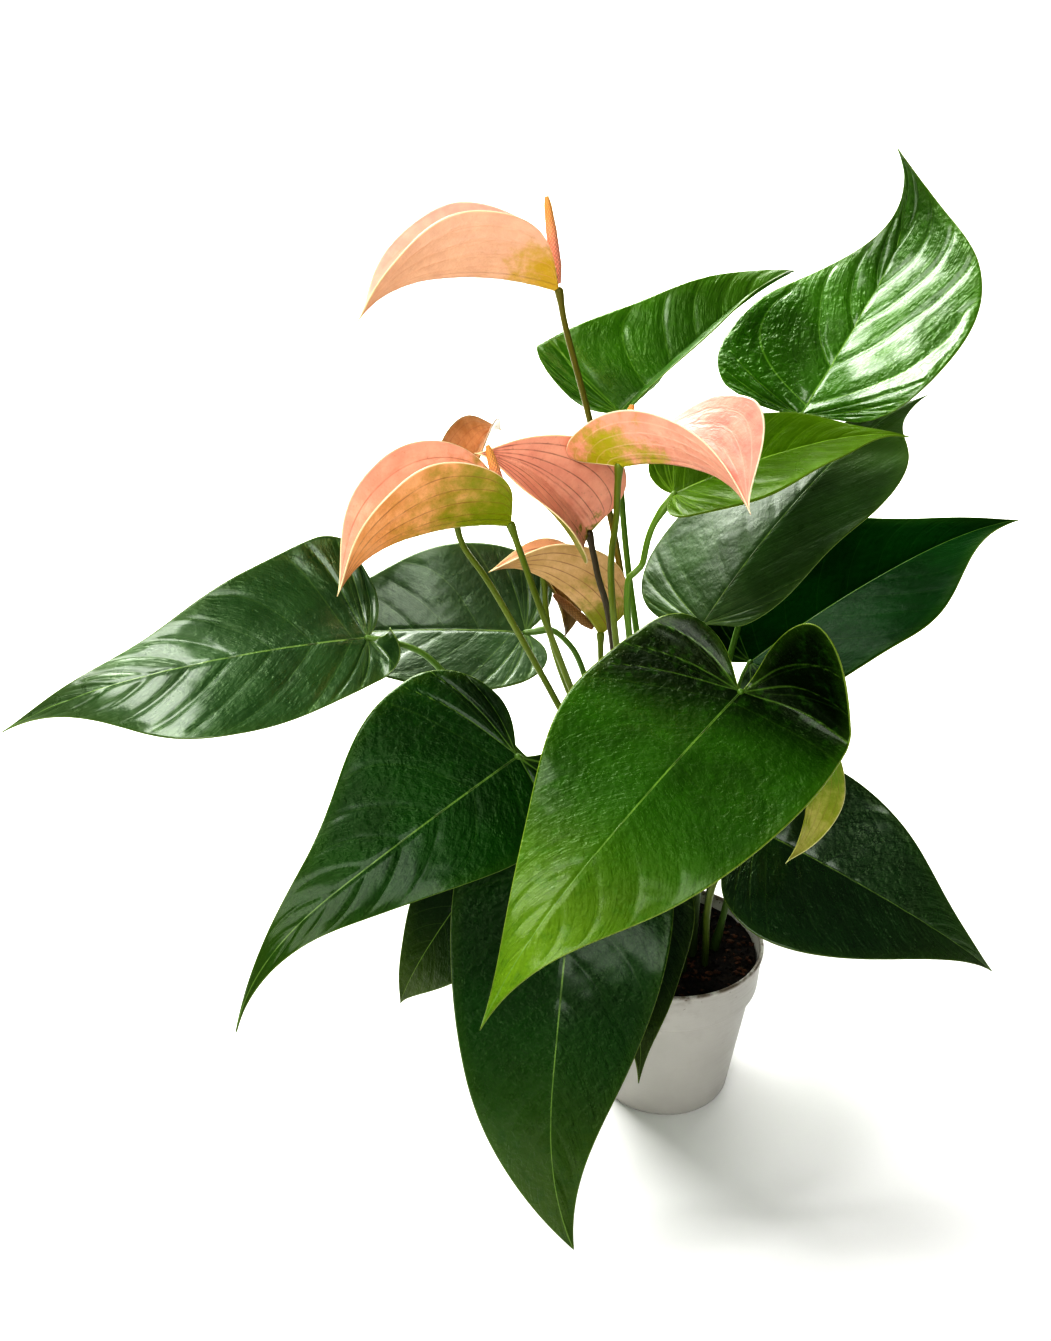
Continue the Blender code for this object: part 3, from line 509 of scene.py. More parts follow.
def faces_of_rings(rings, sides):
    """Quads between closed rings of points numbered ring by ring."""
    grid = np.arange(rings * sides).reshape(rings, sides)
    following = np.roll(grid, -1, axis=1)
    return np.stack([grid[:-1], following[:-1], following[1:], grid[1:]], axis=-1).reshape(-1, 4)


def faces_of_tube(rings, sides):
    """The same with a face over each end."""
    ends = [tuple(range(sides))[::-1], tuple(range((rings - 1) * sides, rings * sides))]
    return [tuple(face) for face in faces_of_rings(rings, sides)] + ends


def ring_points(path, radii, sides):
    """Points round a path at each of its stations, with a radius for each station or each point."""
    side, other = side_axes(path)
    angle = np.linspace(0, 2 * np.pi, sides, endpoint=False)
    ring = np.cos(angle)[None, :, None] * side[:, None] + np.sin(angle)[None, :, None] * other[:, None]
    return (path[:, None] + radii[:, :, None] * ring).reshape(-1, 3)


def welded(points, faces, fields):
    """Merges points in one place and drops the faces' doubled corners."""
    _, first, index = np.unique(np.round(points / 0.01).astype(np.int64), axis=0, return_index=True,
                                return_inverse=True)
    index = index.ravel()
    kept = []
    for face in index[faces]:
        corners = [c for k, c in enumerate(face) if c != face[k - 1]]
        if len(corners) > 2:
            kept.append(tuple(corners))
    return points[first], kept, {name: values[first] for name, values in fields.items()}


def point_normals(points, faces):
    """Unit normals at the points, weighted by the area of the faces around them."""
    normals = np.zeros_like(points)
    for size in (3, 4):
        group = np.array([f for f in faces if len(f) == size], int).reshape(-1, size)
        if len(group) == 0:
            continue
        a, b, c = points[group[:, 0]], points[group[:, 1]], points[group[:, 2]]
        area = np.cross(b - a, c - a)
        if size == 4:
            area = area + np.cross(c - a, points[group[:, 3]] - a)
        for k in range(size):
            np.add.at(normals, group[:, k], area)
    length = np.linalg.norm(normals, axis=1)
    return normals / np.maximum(length, 1e-12)[:, None]


class Solid:
    """A closed mesh under construction, in millimetres, with a material number on each face."""

    def __init__(self, names):
        self.points = []
        self.faces = []
        self.numbers = []
        self.fields = {name: [] for name in names}
        self.count = 0

    def add(self, points, faces, number, fields=None):
        fields = fields or {}
        self.points.append(points)
        self.faces += [tuple(int(c) + self.count for c in face) for face in faces]
        self.numbers += [number] * len(faces)
        for name, values in self.fields.items():
            values.append(np.broadcast_to(fields.get(name, 0.0), len(points)))
        self.count += len(points)

    def add_sheet(self, points, faces, normals, thickness, numbers, fields):
        """Two skins half the thickness either side of a surface, joined round its edge."""
        half = 0.5 * thickness * normals
        top = self.count
        self.add(points + half, faces, numbers[0], fields)
        under = self.count
        self.add(points - half, [face[::-1] for face in faces], numbers[1], fields)
        seen = dict.fromkeys((face[k - 1], corner) for face in faces for k, corner in enumerate(face))
        rim = [pair for pair in seen if (pair[1], pair[0]) not in seen]
        for a, b in rim:
            self.faces.append((int(b) + top, int(a) + top, int(a) + under, int(b) + under))
            self.numbers.append(numbers[2])

    def add_tube(self, path, radii, sides, number, fields=None):
        """A round tube along a path, closed with round ends."""
        path, radii = rounded_ends(np.asarray(path, float), np.asarray(radii, float))
        along = np.repeat(distances(path) / distances(path)[-1], sides)
        self.add(ring_points(path, radii[:, None], sides), faces_of_tube(len(path), sides), number,
                 {"along": along, **(fields or {})})

    def make(self, name, materials):
        mesh = bpy.data.meshes.new(name)
        mesh.from_pydata(np.vstack(self.points) * MM, [], self.faces)
        mesh.polygons.foreach_set("material_index", self.numbers)
        for field, values in self.fields.items():
            attribute = mesh.attributes.new(field, "FLOAT", "POINT")
            attribute.data.foreach_set("value", np.concatenate(values).astype(np.float32))
        mesh.shade_smooth()
        for material in materials:
            mesh.materials.append(material)
        mesh.update()
        return add_object(name, mesh)


def add_object(name, data):
    obj = bpy.data.objects.new(name, data)
    bpy.context.scene.collection.objects.link(obj)
    return obj


def rounded_ends(path, radii):
    """Adds a few shrinking rings at both ends of a tube's path."""
    bends = np.radians(END_BENDS)
    start, end = unit(path[1] - path[0]), unit(path[-1] - path[-2])
    first = [path[0] - radii[0] * np.sin(b) * start for b in bends]
    last = [path[-1] + radii[-1] * np.sin(b) * end for b in bends[::-1]]
    first_radii = [radii[0] * np.cos(b) for b in bends]
    last_radii = [radii[-1] * np.cos(b) for b in bends[::-1]]
    return np.vstack([first, path, last]), np.concatenate([first_radii, radii, last_radii])


def side_axes(path):
    """Two axes across a path at each of its points, carried along without twist."""
    along = np.gradient(path, axis=0)
    along /= np.linalg.norm(along, axis=1)[:, None]
    side = np.zeros_like(path)
    side[0] = unit(np.cross(along[0], np.roll(along[0], 1) + (0.1, 0.2, 0.3)))
    for k in range(1, len(path)):
        side[k] = unit(side[k - 1] - side[k - 1].dot(along[k]) * along[k])
    return side, np.cross(along, side)


def resampled(path, step):
    """The path through a smooth curve, with points a step apart."""
    fine = smooth_path(path, 12)
    return evenly(fine, max(8, int(distances(fine)[-1] / step)))


class Finish:
    """A material with a Principled shader, and short ways to add nodes in front of it."""

    def __init__(self, name, roughness, coat=0.0, coat_roughness=0.1, sheen=0.0, specular=0.5, tint=None):
        self.material = bpy.data.materials.new(name)
        self.material.use_nodes = True
        self.tree = self.material.node_tree
        self.shader = self.tree.nodes["Principled BSDF"]
        self.shader.inputs["Roughness"].default_value = roughness
        self.shader.inputs["Coat Weight"].default_value = coat
        self.shader.inputs["Coat Roughness"].default_value = coat_roughness
        self.shader.inputs["Sheen Weight"].default_value = sheen
        self.shader.inputs["Specular IOR Level"].default_value = specular
        if tint:
            self.shader.inputs["Specular Tint"].default_value = (*tint, 1.0)
        self.place = self.node("TexCoord").outputs["Object"]

    def node(self, kind, given=(), **settings):
        """A new node with its settings made and its first inputs given."""
        node = self.tree.nodes.new("ShaderNode" + kind)
        for name, value in settings.items():
            setattr(node, name, value)
        for socket, value in zip(node.inputs, given):
            self.give(socket, value)
        return node

    def give(self, socket, value):
        if isinstance(value, bpy.types.NodeSocket):
            self.tree.links.new(value, socket)
        elif isinstance(value, tuple) and len(value) == 3 and socket.type == "RGBA":
            socket.default_value = (*value, 1.0)
        else:
            socket.default_value = value

    def field(self, name):
        return self.node("Attribute", attribute_name=name).outputs["Fac"]

    def maths(self, operation, a, b=0.0):
        return self.node("Math", (a, b), operation=operation).outputs[0]

    def times(self, a, b):
        return self.maths("MULTIPLY", a, b)

    def smooth(self, value, low, high, to_low=0.0, to_high=1.0):
        """A smooth step from to_low to to_high as the value goes from low to high."""
        given = (value, low, high, to_low, to_high)
        return self.node("MapRange", given, interpolation_type="SMOOTHSTEP").outputs["Result"]

    def line(self, distance, core, edge):
        """1 where the distance is within the core width, fading to 0 at the edge width."""
        return self.smooth(self.maths("ABSOLUTE", distance), core, edge, 1.0, 0.0)

    def noise(self, scale, detail=3.0, roughness=0.55, vector=None):
        """Uneven values from 0 to 1, with the scale in waves per metre."""
        node = self.node("TexNoise", (vector or self.place,))
        node.inputs["Scale"].default_value = scale
        node.inputs["Detail"].default_value = detail
        node.inputs["Roughness"].default_value = roughness
        return node.outputs["Fac"]

    def streaks(self, a, a_scale, b, b_scale):
        """Uneven values over two fields, long where a field's scale is small."""
        node = self.node("CombineXYZ", (self.times(a, a_scale), self.times(b, b_scale)))
        return self.noise(1.0, 3.0, 0.6, node.outputs[0])

    def mix(self, factor, a, b):
        """Colour a with a share of b over it."""
        node = self.node("Mix", (factor,), data_type="RGBA")
        self.give(node.inputs[6], a)
        self.give(node.inputs[7], b)
        return node.outputs[2]

    def bump(self, height, depth, under=None):
        """Relief of a depth in millimetres, on top of another's."""
        node = self.node("Bump", (1.0, depth * MM))
        self.give(node.inputs["Height"], height)
        if under is not None:
            self.give(node.inputs["Normal"], under)
        return node.outputs["Normal"]

    def done(self, colour, roughness=None, normal=None):
        self.give(self.shader.inputs["Base Color"], colour)
        if roughness is not None:
            self.give(self.shader.inputs["Roughness"], roughness)
        if normal is not None:
            self.give(self.shader.inputs["Normal"], normal)
        return self.material


def scaled(colour, factor):
    return tuple(min(1.0, c * factor) for c in colour)


def blended(a, b, share):
    return tuple((1 - share) * x + share * y for x, y in zip(a, b))


def leaf_upper(name, green, shape):
    """Waxy upper side: leathery grain, pale veins, lobes darkened with painted shade, a yellowish tip and a
    pale rim.
    """
    shine, vein_show = shape["shine"], shape["vein_show"]
    f = Finish(name, 0.3, coat=min(1.0, 0.28 * shine), coat_roughness=0.16,
               specular=0.2 * shine, tint=LEAF_SHEEN)
    along, midrib, lateral, basal, rim = (f.field(n) for n in ("along", "midrib", "lateral", "basal", "rim"))
    pale_vein = blended(scaled(green, 2.5), VEIN_PALE, 0.5)
    blotches = f.smooth(f.noise(22.0, 2.0), 0.35, 0.65)
    colour = f.mix(blotches, scaled(green, 0.8), scaled(green, 1.15))
    # Painted shade: the lobes near the junction are darkened towards a tenth of the green
    painted_lobe_mask = f.smooth(along, shape["lobe_end"] - 0.15, shape["lobe_end"], shape["lobe_painted_shade"], 0.0)
    colour = f.mix(painted_lobe_mask, colour, scaled(green, 0.1))
    yellower = blended(scaled(green, 2.0), LEAF_YELLOW, 0.6)
    tip_green = yellower if shape["tip_shade"] > 0 else scaled(green, 0.4)
    colour = f.mix(f.smooth(along, 0.5, 1.0, 0.0, abs(shape["tip_shade"])), colour, tip_green)
    colour = f.mix(f.smooth(rim, 0.0, 9.0, 0.25, 0.0), colour, blended(scaled(green, 1.4), LEAF_YELLOW, 0.2))
    net = f.smooth(f.noise(160.0, 3.0, 0.6), 0.5, 0.7, 0.0, 0.3)
    colour = f.mix(net, colour, scaled(green, 1.5))
    side_vein = f.times(f.line(lateral, 0.05, 0.6), f.smooth(along, 0.15, 0.5, 0.8, 0.4))
    colour = f.mix(f.times(side_vein, vein_show), colour, pale_vein)
    colour = f.mix(f.times(f.line(basal, 0.15, 0.9), shape["basal_show"]), colour, pale_vein)
    rib_width = f.smooth(along, 0.2, 1.0, 0.75, 0.3)
    rib = f.smooth(f.maths("ABSOLUTE", midrib), f.times(rib_width, 0.4), rib_width, 1.0, 0.0)
    colour = f.mix(rib, colour, blended(scaled(green, 2.2), VEIN_PALE, 0.5))
    colour = f.mix(f.line(rim, 0.25, 0.7), colour, blended(green, RIM_PALE, shape["rim_show"]))
    normal = f.bump(f.streaks(f.field("phase"), 7.0, midrib, 0.12), shape["streak"])
    normal = f.bump(f.smooth(f.noise(240.0, 2.0, 0.5), 0.3, 0.7), 0.4 * shape["grain"], under=normal)
    normal = f.bump(f.noise(620.0, 4.0, 0.6), 0.25 * shape["grain"], under=normal)
    roughness = f.smooth(f.noise(90.0, 3.0), 0.3, 0.75, 0.26, 0.42)
    return f.done(colour, roughness, normal)


def leaf_under(name, green):
    """Duller, paler underside with veins that stand out."""
    f = Finish(name, 0.55)
    along, midrib, lateral, rim = (f.field(n) for n in ("along", "midrib", "lateral", "rim"))
    pale = blended(scaled(green, 1.9), LEAF_UNDER_PALE, 0.35)
    colour = f.mix(f.smooth(f.noise(30.0, 3.0), 0.35, 0.65), scaled(pale, 0.85), scaled(pale, 1.1))
    colour = f.mix(f.line(lateral, 0.3, 1.0), colour, scaled(pale, 1.5))
    colour = f.mix(f.line(midrib, 0.6, 1.4), colour, scaled(pale, 1.6))
    colour = f.mix(f.line(rim, 0.25, 0.7), colour, blended(green, RIM_PALE, 0.7))
    normal = f.bump(f.streaks(along, 95.0, midrib, 0.25), 0.5)
    return f.done(colour, f.smooth(f.noise(150.0), 0.3, 0.7, 0.45, 0.62), normal)


def stalk_finish(name, foot, top):
    """A stalk that changes colour from its foot to its top, with fine lengthwise streaks and specks."""
    f = Finish(name, 0.4, coat=0.15)
    along = f.field("along")
    streak = f.streaks(f.field("turn"), 3.0, along, 9.0)
    colour = f.mix(f.smooth(along, 0.05, 0.7), foot, top)
    deeper = f.mix(along, scaled(foot, 0.5), scaled(top, 0.6))
    colour = f.mix(f.smooth(streak, 0.4, 0.75, 0.0, 0.45), colour, deeper)
    specks = f.smooth(f.noise(900.0, 2.0), 0.66, 0.74)
    colour = f.mix(f.times(specks, 0.35), colour, STALK_SPECK)
    normal = f.bump(streak, 0.25)
    return f.done(colour, f.smooth(f.noise(300.0), 0.3, 0.7, 0.3, 0.5), normal)


def spathe_side(name, main, look, foot_reach):
    """One side of a spathe: a blush that turns green at its foot, long veins and a cream rim."""
    vein = look["vein"]
    f = Finish(name, 0.35, coat=0.2, coat_roughness=0.12)
    along, lateral, rim, reach = (f.field(n) for n in ("along", "lateral", "rim", "reach"))
    mottle = f.noise(85.0, 5.0, 0.65)
    colour = f.mix(f.smooth(mottle, 0.35, 0.7), scaled(main, 0.92), blended(main, (1.0, 0.72, 0.5), 0.22))
    uneven = f.maths("ADD", reach, f.times(f.maths("SUBTRACT", mottle, 0.5), 70.0))
    colour = f.mix(f.smooth(uneven, foot_reach, 0.2 * foot_reach), colour, look["foot"])
    freckles = f.smooth(f.noise(420.0, 3.0, 0.65), 0.6, 0.75)
    colour = f.mix(f.times(freckles, 0.22), colour, scaled(vein, 0.9))
    broken = f.smooth(f.noise(90.0, 3.0), 0.3, 0.65, 0.35, 1.0)
    long_vein = f.times(f.line(lateral, 0.05, 0.5), f.times(broken, look["vein_share"]))
    colour = f.mix(long_vein, colour, vein)
    colour = f.mix(f.line(rim, 0.3, 0.8), colour, look["rim"])
    normal = f.bump(f.streaks(along, 14.0, lateral, 0.5), 0.55)
    normal = f.bump(f.noise(260.0, 4.0, 0.6), 0.25, under=normal)
    normal = f.bump(f.noise(700.0, 3.0), 0.1, under=normal)
    return f.done(colour, f.smooth(mottle, 0.3, 0.7, 0.3, 0.45), normal)


def spadix_finish(name, foot, tip):
    """Tiny crowded florets, with the colour ripening towards the tip and painted shade in the hollows between
    them.
    """
    f = Finish(name, 0.5, sheen=0.1)
    colour = f.mix(f.smooth(f.field("along"), 0.35, 0.95), foot, tip)
    crown = f.field("crown")
    # Painted shade: a darker foot colour in the hollows between the florets
    colour = f.mix(f.smooth(crown, 0.15, 0.75, 0.5, 0.0), colour, scaled(foot, 0.45))
    return f.done(colour, f.smooth(crown, 0.2, 0.9, 0.65, 0.42), f.bump(f.noise(1500.0), 0.08))


def vein_phase(u, v, count, lean):
    """Side veins lie where this is a whole number; they leave the midrib and lean towards the tip."""
    return count * (u - (lean * v + 0.05 * v ** 2) * np.clip((u - FAN) / 0.25, 0, 1))


def fine_blade(shape, pitch, seed, parallel_veins=False):
    """A blade's middle surface on a fine grid, with its relief and the fields that its material reads."""
    length = np.linalg.norm(np.subtract(shape["tip"], shape["junction"]))
    rows = int(1.35 * length / pitch) + 1
    columns = 2 * int(length * max(shape["halves"]) / pitch) + 1
    u, v = np.meshgrid(np.linspace(0, 1, rows), np.linspace(-1, 1, columns), indexing="ij")
    u, v = u.ravel(), v.ravel()
    points = blade_points(shape, u, v)
    grid = points.reshape(rows, columns, 3)
    per_row = np.linalg.norm(np.gradient(grid, axis=0), axis=2).ravel() * (rows - 1)
    middle = grid[:, columns // 2]
    out = np.linalg.norm(grid - middle[:, None], axis=2).ravel()
    span = np.linalg.norm(grid[:, 0] - middle, axis=1), np.linalg.norm(grid[:, -1] - middle, axis=1)
    span = np.where(v.reshape(rows, columns) < 0, span[0][:, None], span[1][:, None]).ravel()
    reach = np.linalg.norm(points - np.asarray(shape["junction"], float), axis=1)
    flat_x, flat_y = np.where(v >= 0, flat_half(shape, 0, u, np.abs(v)), flat_half(shape, 1, u, np.abs(v)))
    midrib = np.sign(v) * flat_y * length
    rim = np.minimum((1 - np.abs(v)) * span, u * per_row)
    phase = u
    if parallel_veins:
        count = LONG_VEINS
        lateral = np.sin(np.pi * count * np.abs(v)) * np.maximum(span, 1.0) / (np.pi * count)
        lateral = lateral + (np.abs(v) < 0.5 / count) * 9.0
    else:
        count = shape["veins"]
        phase = vein_phase(u, np.abs(v), count, shape["vein_lean"])
        lateral = np.sin(np.pi * phase) * per_row / (np.pi * count)
        lateral = lateral + (u < 0.4 / count) * 9.0
    basal = np.min([np.abs(u - start - 0.04 * v ** 2) for start in BASAL_VEINS], axis=0) * per_row
    basal = basal + np.clip(reach / length - 0.3, 0, 1) * 3.0
    fields = {"along": u, "midrib": midrib, "lateral": lateral, "basal": basal, "rim": rim, "reach": reach,
              "phase": phase}
    faces = faces_of_grid(rows, columns)
    fields["height"] = relief(shape, u, v, fields, out, flat_x, flat_y, length, seed)
    points, faces, fields = welded(points, faces, fields)
    normals = point_normals(points, faces)
    height = fields.pop("height")
    points = points + height[:, None] * normals
    return points, faces, point_normals(points, faces), fields


def relief(shape, u, v, fields, out, x, y, length, seed):
    """Height of the fine relief in millimetres: sunken veins, a quilted blade between them, a slow wobble."""
    quilt = shape["quilt"]
    inside = np.clip(fields["rim"] / 6.0, 0, 1) * np.clip(fields["reach"] / 18.0, 0, 1)
    groove = np.exp(-(fields["lateral"] / VEIN_WIDTH) ** 2) * np.clip(out / 4.0, 0, 1)
    bulge = 1 - np.exp(-(fields["lateral"] / BULGE_WIDTH) ** 2)
    height = quilt * inside * (0.9 * bulge - 0.5 * groove)
    height -= MIDRIB_DEPTH * np.exp(-(fields["midrib"] / MIDRIB_WIDTH) ** 2) * np.clip((1 - u) / 0.3, 0, 1)
    height -= BASAL_DEPTH * shape["groove"] * np.exp(-(fields["basal"] / VEIN_WIDTH) ** 2) * inside
    height += quilt * 0.6 * inside * wobble(5 * x, 5 * y, seed)
    height += WOBBLE * np.clip(fields["rim"] / 4.0, 0, 1) * wobble(16 * x, 16 * y, seed + 1)
    return height


def stalk_path(shape):
    path = stem_path(shape)
    return np.vstack([path[:1], resampled(path[1:], STALK_STEP)])


def add_stalk(solid, path, radii, number):
    """A stalk with the field that its streaks run round."""
    rings = len(path) + 2 * len(END_BENDS)
    turn = np.tile(np.abs(np.linspace(-1, 1, STALK_SIDES, endpoint=False)), rings)
    solid.add_tube(path, radii, STALK_SIDES, number, {"turn": turn})


def swelling(steps, height, middle, length):
    return height * np.exp(-((steps - middle) / length) ** 2)


def make_leaf(name, details, number):
    shape = {**LEAF_SHAPE, **LEAF_LOOK, "phase": LEAF_PHASE * number, **details, **LEAF_LOOKS.get(name, {})}
    green = shape["green"]
    solid = Solid(("along", "midrib", "lateral", "basal", "rim", "reach", "phase", "turn"))
    points, faces, normals, fields = fine_blade(shape, LEAF_PITCH, 10 + number)
    solid.add_sheet(points, faces, normals, LEAF_THICKNESS, (0, 1, 0), fields)
    path = stalk_path(shape)
    steps = distances(path)
    radii = np.interp(steps, (0, steps[-1]), PETIOLE_RADIUS)
    radii = radii + swelling(steps[-1] - steps, *KNUCKLE)
    radii = radii + swelling(steps, *SHEATH)
    add_stalk(solid, path, radii, 2)
    add_rib(solid, shape)
    # Painted shade: the petiole's foot colour is darkened to about a third near the soil
    shaded_petiole_foot = scaled(blended(scaled(green, 1.5), PETIOLE_GREEN, 0.6), 0.35)
    petiole_top = blended(scaled(green, 2.0), PETIOLE_GREEN, 0.7)
    materials = [leaf_upper(name, green, shape), leaf_under(name + "_under", green),
                 stalk_finish(name + "_petiole", shaded_petiole_foot, petiole_top)]
    finish_piece(solid.make("fine_" + name, materials), name)


def add_rib(solid, shape):
    """The midrib's ridge under the blade."""
    u = np.linspace(FAN, 0.97, 50)
    middle = blade_points(shape, u, np.zeros_like(u))
    left = blade_points(shape, u, np.full_like(u, 0.05))
    right = blade_points(shape, u, np.full_like(u, -0.05))
    along = np.gradient(middle, axis=0)
    down = np.cross(left - right, along)
    down /= np.linalg.norm(down, axis=1)[:, None]
    toward = np.sign(np.sum(down * np.asarray(shape["face"], float), axis=1).mean())
    down = -down * toward
    radii = np.interp(u, (FAN, 1.0), RIB_RADIUS)
    solid.add_tube(middle + (radii - RIB_SINK)[:, None] * down, radii, RIB_SIDES, 2)


def make_bloom(name, details, number):
    shape = {**SPATHE_SHAPE, "quilt": SPATHE_QUILT, "groove": 0.0, "phase": SPATHE_PHASE * number, **details}
    look = {**BLOOM_LOOK, **BLOOM_LOOKS.get(name, {})}
    solid = Solid(("along", "midrib", "lateral", "rim", "reach"))
    points, faces, normals, fields = fine_blade(shape, SPATHE_PITCH, 60 + number, True)
    solid.add_sheet(points, faces, normals, SPATHE_THICKNESS, (0, 1, 0), fields)
    length = np.linalg.norm(np.subtract(shape["tip"], shape["junction"]))
    reaches = dict(inner=look["foot_reach"] * look["inner_foot"] * length, outer=look["foot_reach"] * length)
    materials = [spathe_side(f"spathe_{name}_{side}", look[side], look, reach)
                 for side, reach in reaches.items()]
    finish_piece(solid.make("fine_spathe_" + name, materials), "spathe_" + name)
    make_flower_stem(name, shape, look)
    make_spadix(name, shape, look)


def make_flower_stem(name, shape, look):
    node = "flower_stem_" + name
    path = stalk_path(shape)
    steps = distances(path)
    radii = np.interp(steps, (0, steps[-1]), STEM_RADIUS)
    radii = radii + swelling(steps[-1] - steps, *COLLAR)
    solid = Solid(("along", "turn"))
    add_stalk(solid, path, radii, 0)
    finish_piece(solid.make("fine_" + node, [stalk_finish(node, look["shaded_stem_foot"], look["stem_top"])]), node)


def make_spadix(name, shape, look):
    """A tapering spike whose surface is crowded with florets on two crossing spirals."""
    node = "spadix_" + name
    low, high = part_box(node)
    direction = unit(shape["spadix"])
    length = shape["spadix_length"]
    foot = np.asarray((low + high) / 2) / MM - direction * 0.5 * length
    rows = int(length / SPADIX_STEP)
    t = np.linspace(0, 1, rows)
    radii = np.interp(t, (0, 0.04, 0.2, 0.6, 0.9, 1),
                      (1.3, 1.6, SPADIX_RADIUS - 0.2, 0.9 * SPADIX_RADIUS, 0.6 * SPADIX_RADIUS, 0.9))
    angle = np.linspace(0, 2 * np.pi, SPADIX_SIDES, endpoint=False)
    a = FLORETS_ROUND * angle[None, :] / (2 * np.pi)
    b = (length * t / (2 * np.pi * SPADIX_RADIUS / FLORETS_ROUND))[:, None]
    crown = np.abs(np.sin(np.pi * (a + b)) * np.sin(np.pi * (a - b)))
    radius = radii[:, None] + FLORET_HEIGHT * np.clip(t / 0.1, 0, 1)[:, None] * (crown - 0.45)
    solid = Solid(("along", "crown"))
    solid.add(ring_points(foot + length * t[:, None] * direction, radius, SPADIX_SIDES),
              faces_of_tube(rows, SPADIX_SIDES), 0,
              {"along": np.repeat(t, SPADIX_SIDES), "crown": crown.ravel()})
    material = spadix_finish(node, look["spadix_foot"], look["spadix_tip"])
    finish_piece(solid.make("fine_" + node, [material]), node)


def finish_piece(piece, node):
    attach(piece, "root")
    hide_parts(node)


def lathe(profile, sides):
    """Points and faces of a surface turned round the Z axis, with the points on the axis merged."""
    angle = np.linspace(0, 2 * np.pi, sides, endpoint=False)
    points = np.array([[r * np.cos(a), r * np.sin(a), z] for r, z in profile for a in angle])
    points, faces, _ = welded(points, faces_of_rings(len(profile), sides), {})
    return points, faces


def pot_finish():
    """Thin white plastic: faint scuffs round the body, soft unevenness, soil smeared at the rim."""
    f = Finish("pot_plastic", 0.4, specular=0.45)
    z = f.node("SeparateXYZ", (f.place,)).outputs[2]
    colour = f.mix(f.smooth(f.noise(18.0, 3.0), 0.3, 0.7), scaled(POT_WHITE, 0.93), POT_WHITE)
    film = f.smooth(f.noise(70.0, 4.0, 0.65), 0.48, 0.8)
    film = f.times(film, f.smooth(z, 0.02, 0.107, 0.1, 0.45))
    colour = f.mix(film, colour, blended(POT_WHITE, POT_DIRT, 0.35))
    crumbs = f.smooth(f.noise(330.0, 3.0, 0.6), 0.66, 0.72)
    colour = f.mix(f.times(crumbs, f.smooth(z, 0.085, 0.106, 0.0, 0.9)), colour, POT_DIRT)
    smear = f.smooth(f.noise(45.0, 4.0, 0.6), 0.5, 0.62)
    colour = f.mix(f.times(smear, f.smooth(z, 0.098, 0.1065, 0.0, 0.6)), colour, POT_DIRT)
    edge = f.smooth(f.noise(110.0, 4.0, 0.65), 0.3, 0.6, 0.0, 0.85)
    colour = f.mix(f.times(edge, f.smooth(z, 0.1045, 0.1068)), colour, POT_DIRT)
    scuffs = f.noise(1.0, 3.0, 0.6, scuff_lines(f))
    normal = f.bump(scuffs, 0.12)
    normal = f.bump(f.noise(1200.0), 0.03, under=normal)
    return f.done(colour, f.smooth(scuffs, 0.3, 0.75, 0.34, 0.52), normal)


def scuff_lines(f):
    """Coordinates squeezed along Z, so that noise runs round the pot."""
    node = f.node("Mapping", (f.place,))
    node.inputs["Scale"].default_value = (40.0, 40.0, 900.0)
    return node.outputs[0]


def make_pot():
    solid = Solid(())
    solid.add(*lathe(POT_PROFILE, POT_SIDES), 0)
    pot = solid.make("fine_pot", [pot_finish()])
    cut_drains(pot)
    pot.data.set_sharp_from_angle(angle=np.radians(POT_CREASE))
    finish_piece(pot, "pot")


def cut_drains(pot):
    """Drain holes through the pot's floor."""
    cutter = Solid(())
    for angle in 2 * np.pi * np.arange(DRAIN_HOLES) / DRAIN_HOLES:
        x, y = DRAIN_RING * np.cos(angle), DRAIN_RING * np.sin(angle)
        cutter.add_tube([(x, y, z) for z in (-4.0, 0.0, 4.0)], [DRAIN_RADIUS] * 3, DRAIN_SIDES, 0)
    tool = cutter.make("drain_cutter", [])
    cut = pot.modifiers.new("drains", "BOOLEAN")
    cut.operation = "DIFFERENCE"
    cut.object = tool
    graph = bpy.context.evaluated_depsgraph_get()
    mesh = bpy.data.meshes.new_from_object(pot.evaluated_get(graph))
    pot.modifiers.clear()
    pot.data = mesh
    bpy.data.objects.remove(tool)


def soil_finish(name, dark, light, grain):
    f = Finish(name, 0.9, specular=0.3)
    colour = f.mix(f.smooth(f.noise(grain, 4.0, 0.65), 0.35, 0.7), dark, light)
    colour = f.mix(f.times(f.smooth(f.noise(60.0, 2.0), 0.45, 0.6), 0.5), colour, scaled(dark, 0.5))
    roughness = f.smooth(f.noise(200.0), 0.3, 0.7, 0.75, 0.95)
    return f.done(colour, roughness, f.bump(f.noise(700.0, 4.0, 0.7), 0.6))


def soil_height(x, y):
    """Height of the soil's surface: a low crown, drawn down to the pot's wall, with small mounds."""
    r = np.hypot(x, y)
    crown = SOIL_CROWN - 1.6 * np.clip((r - 30.0) / 26.0, 0, 1) ** 2
    mounds = 1.1 * wobble(x / 22.0, y / 22.0, 5) + 0.7 * wobble(x / 6.0, y / 6.0, 6)
    return crown + mounds + 0.4 * wobble(x / 2.4, y / 2.4, 7)


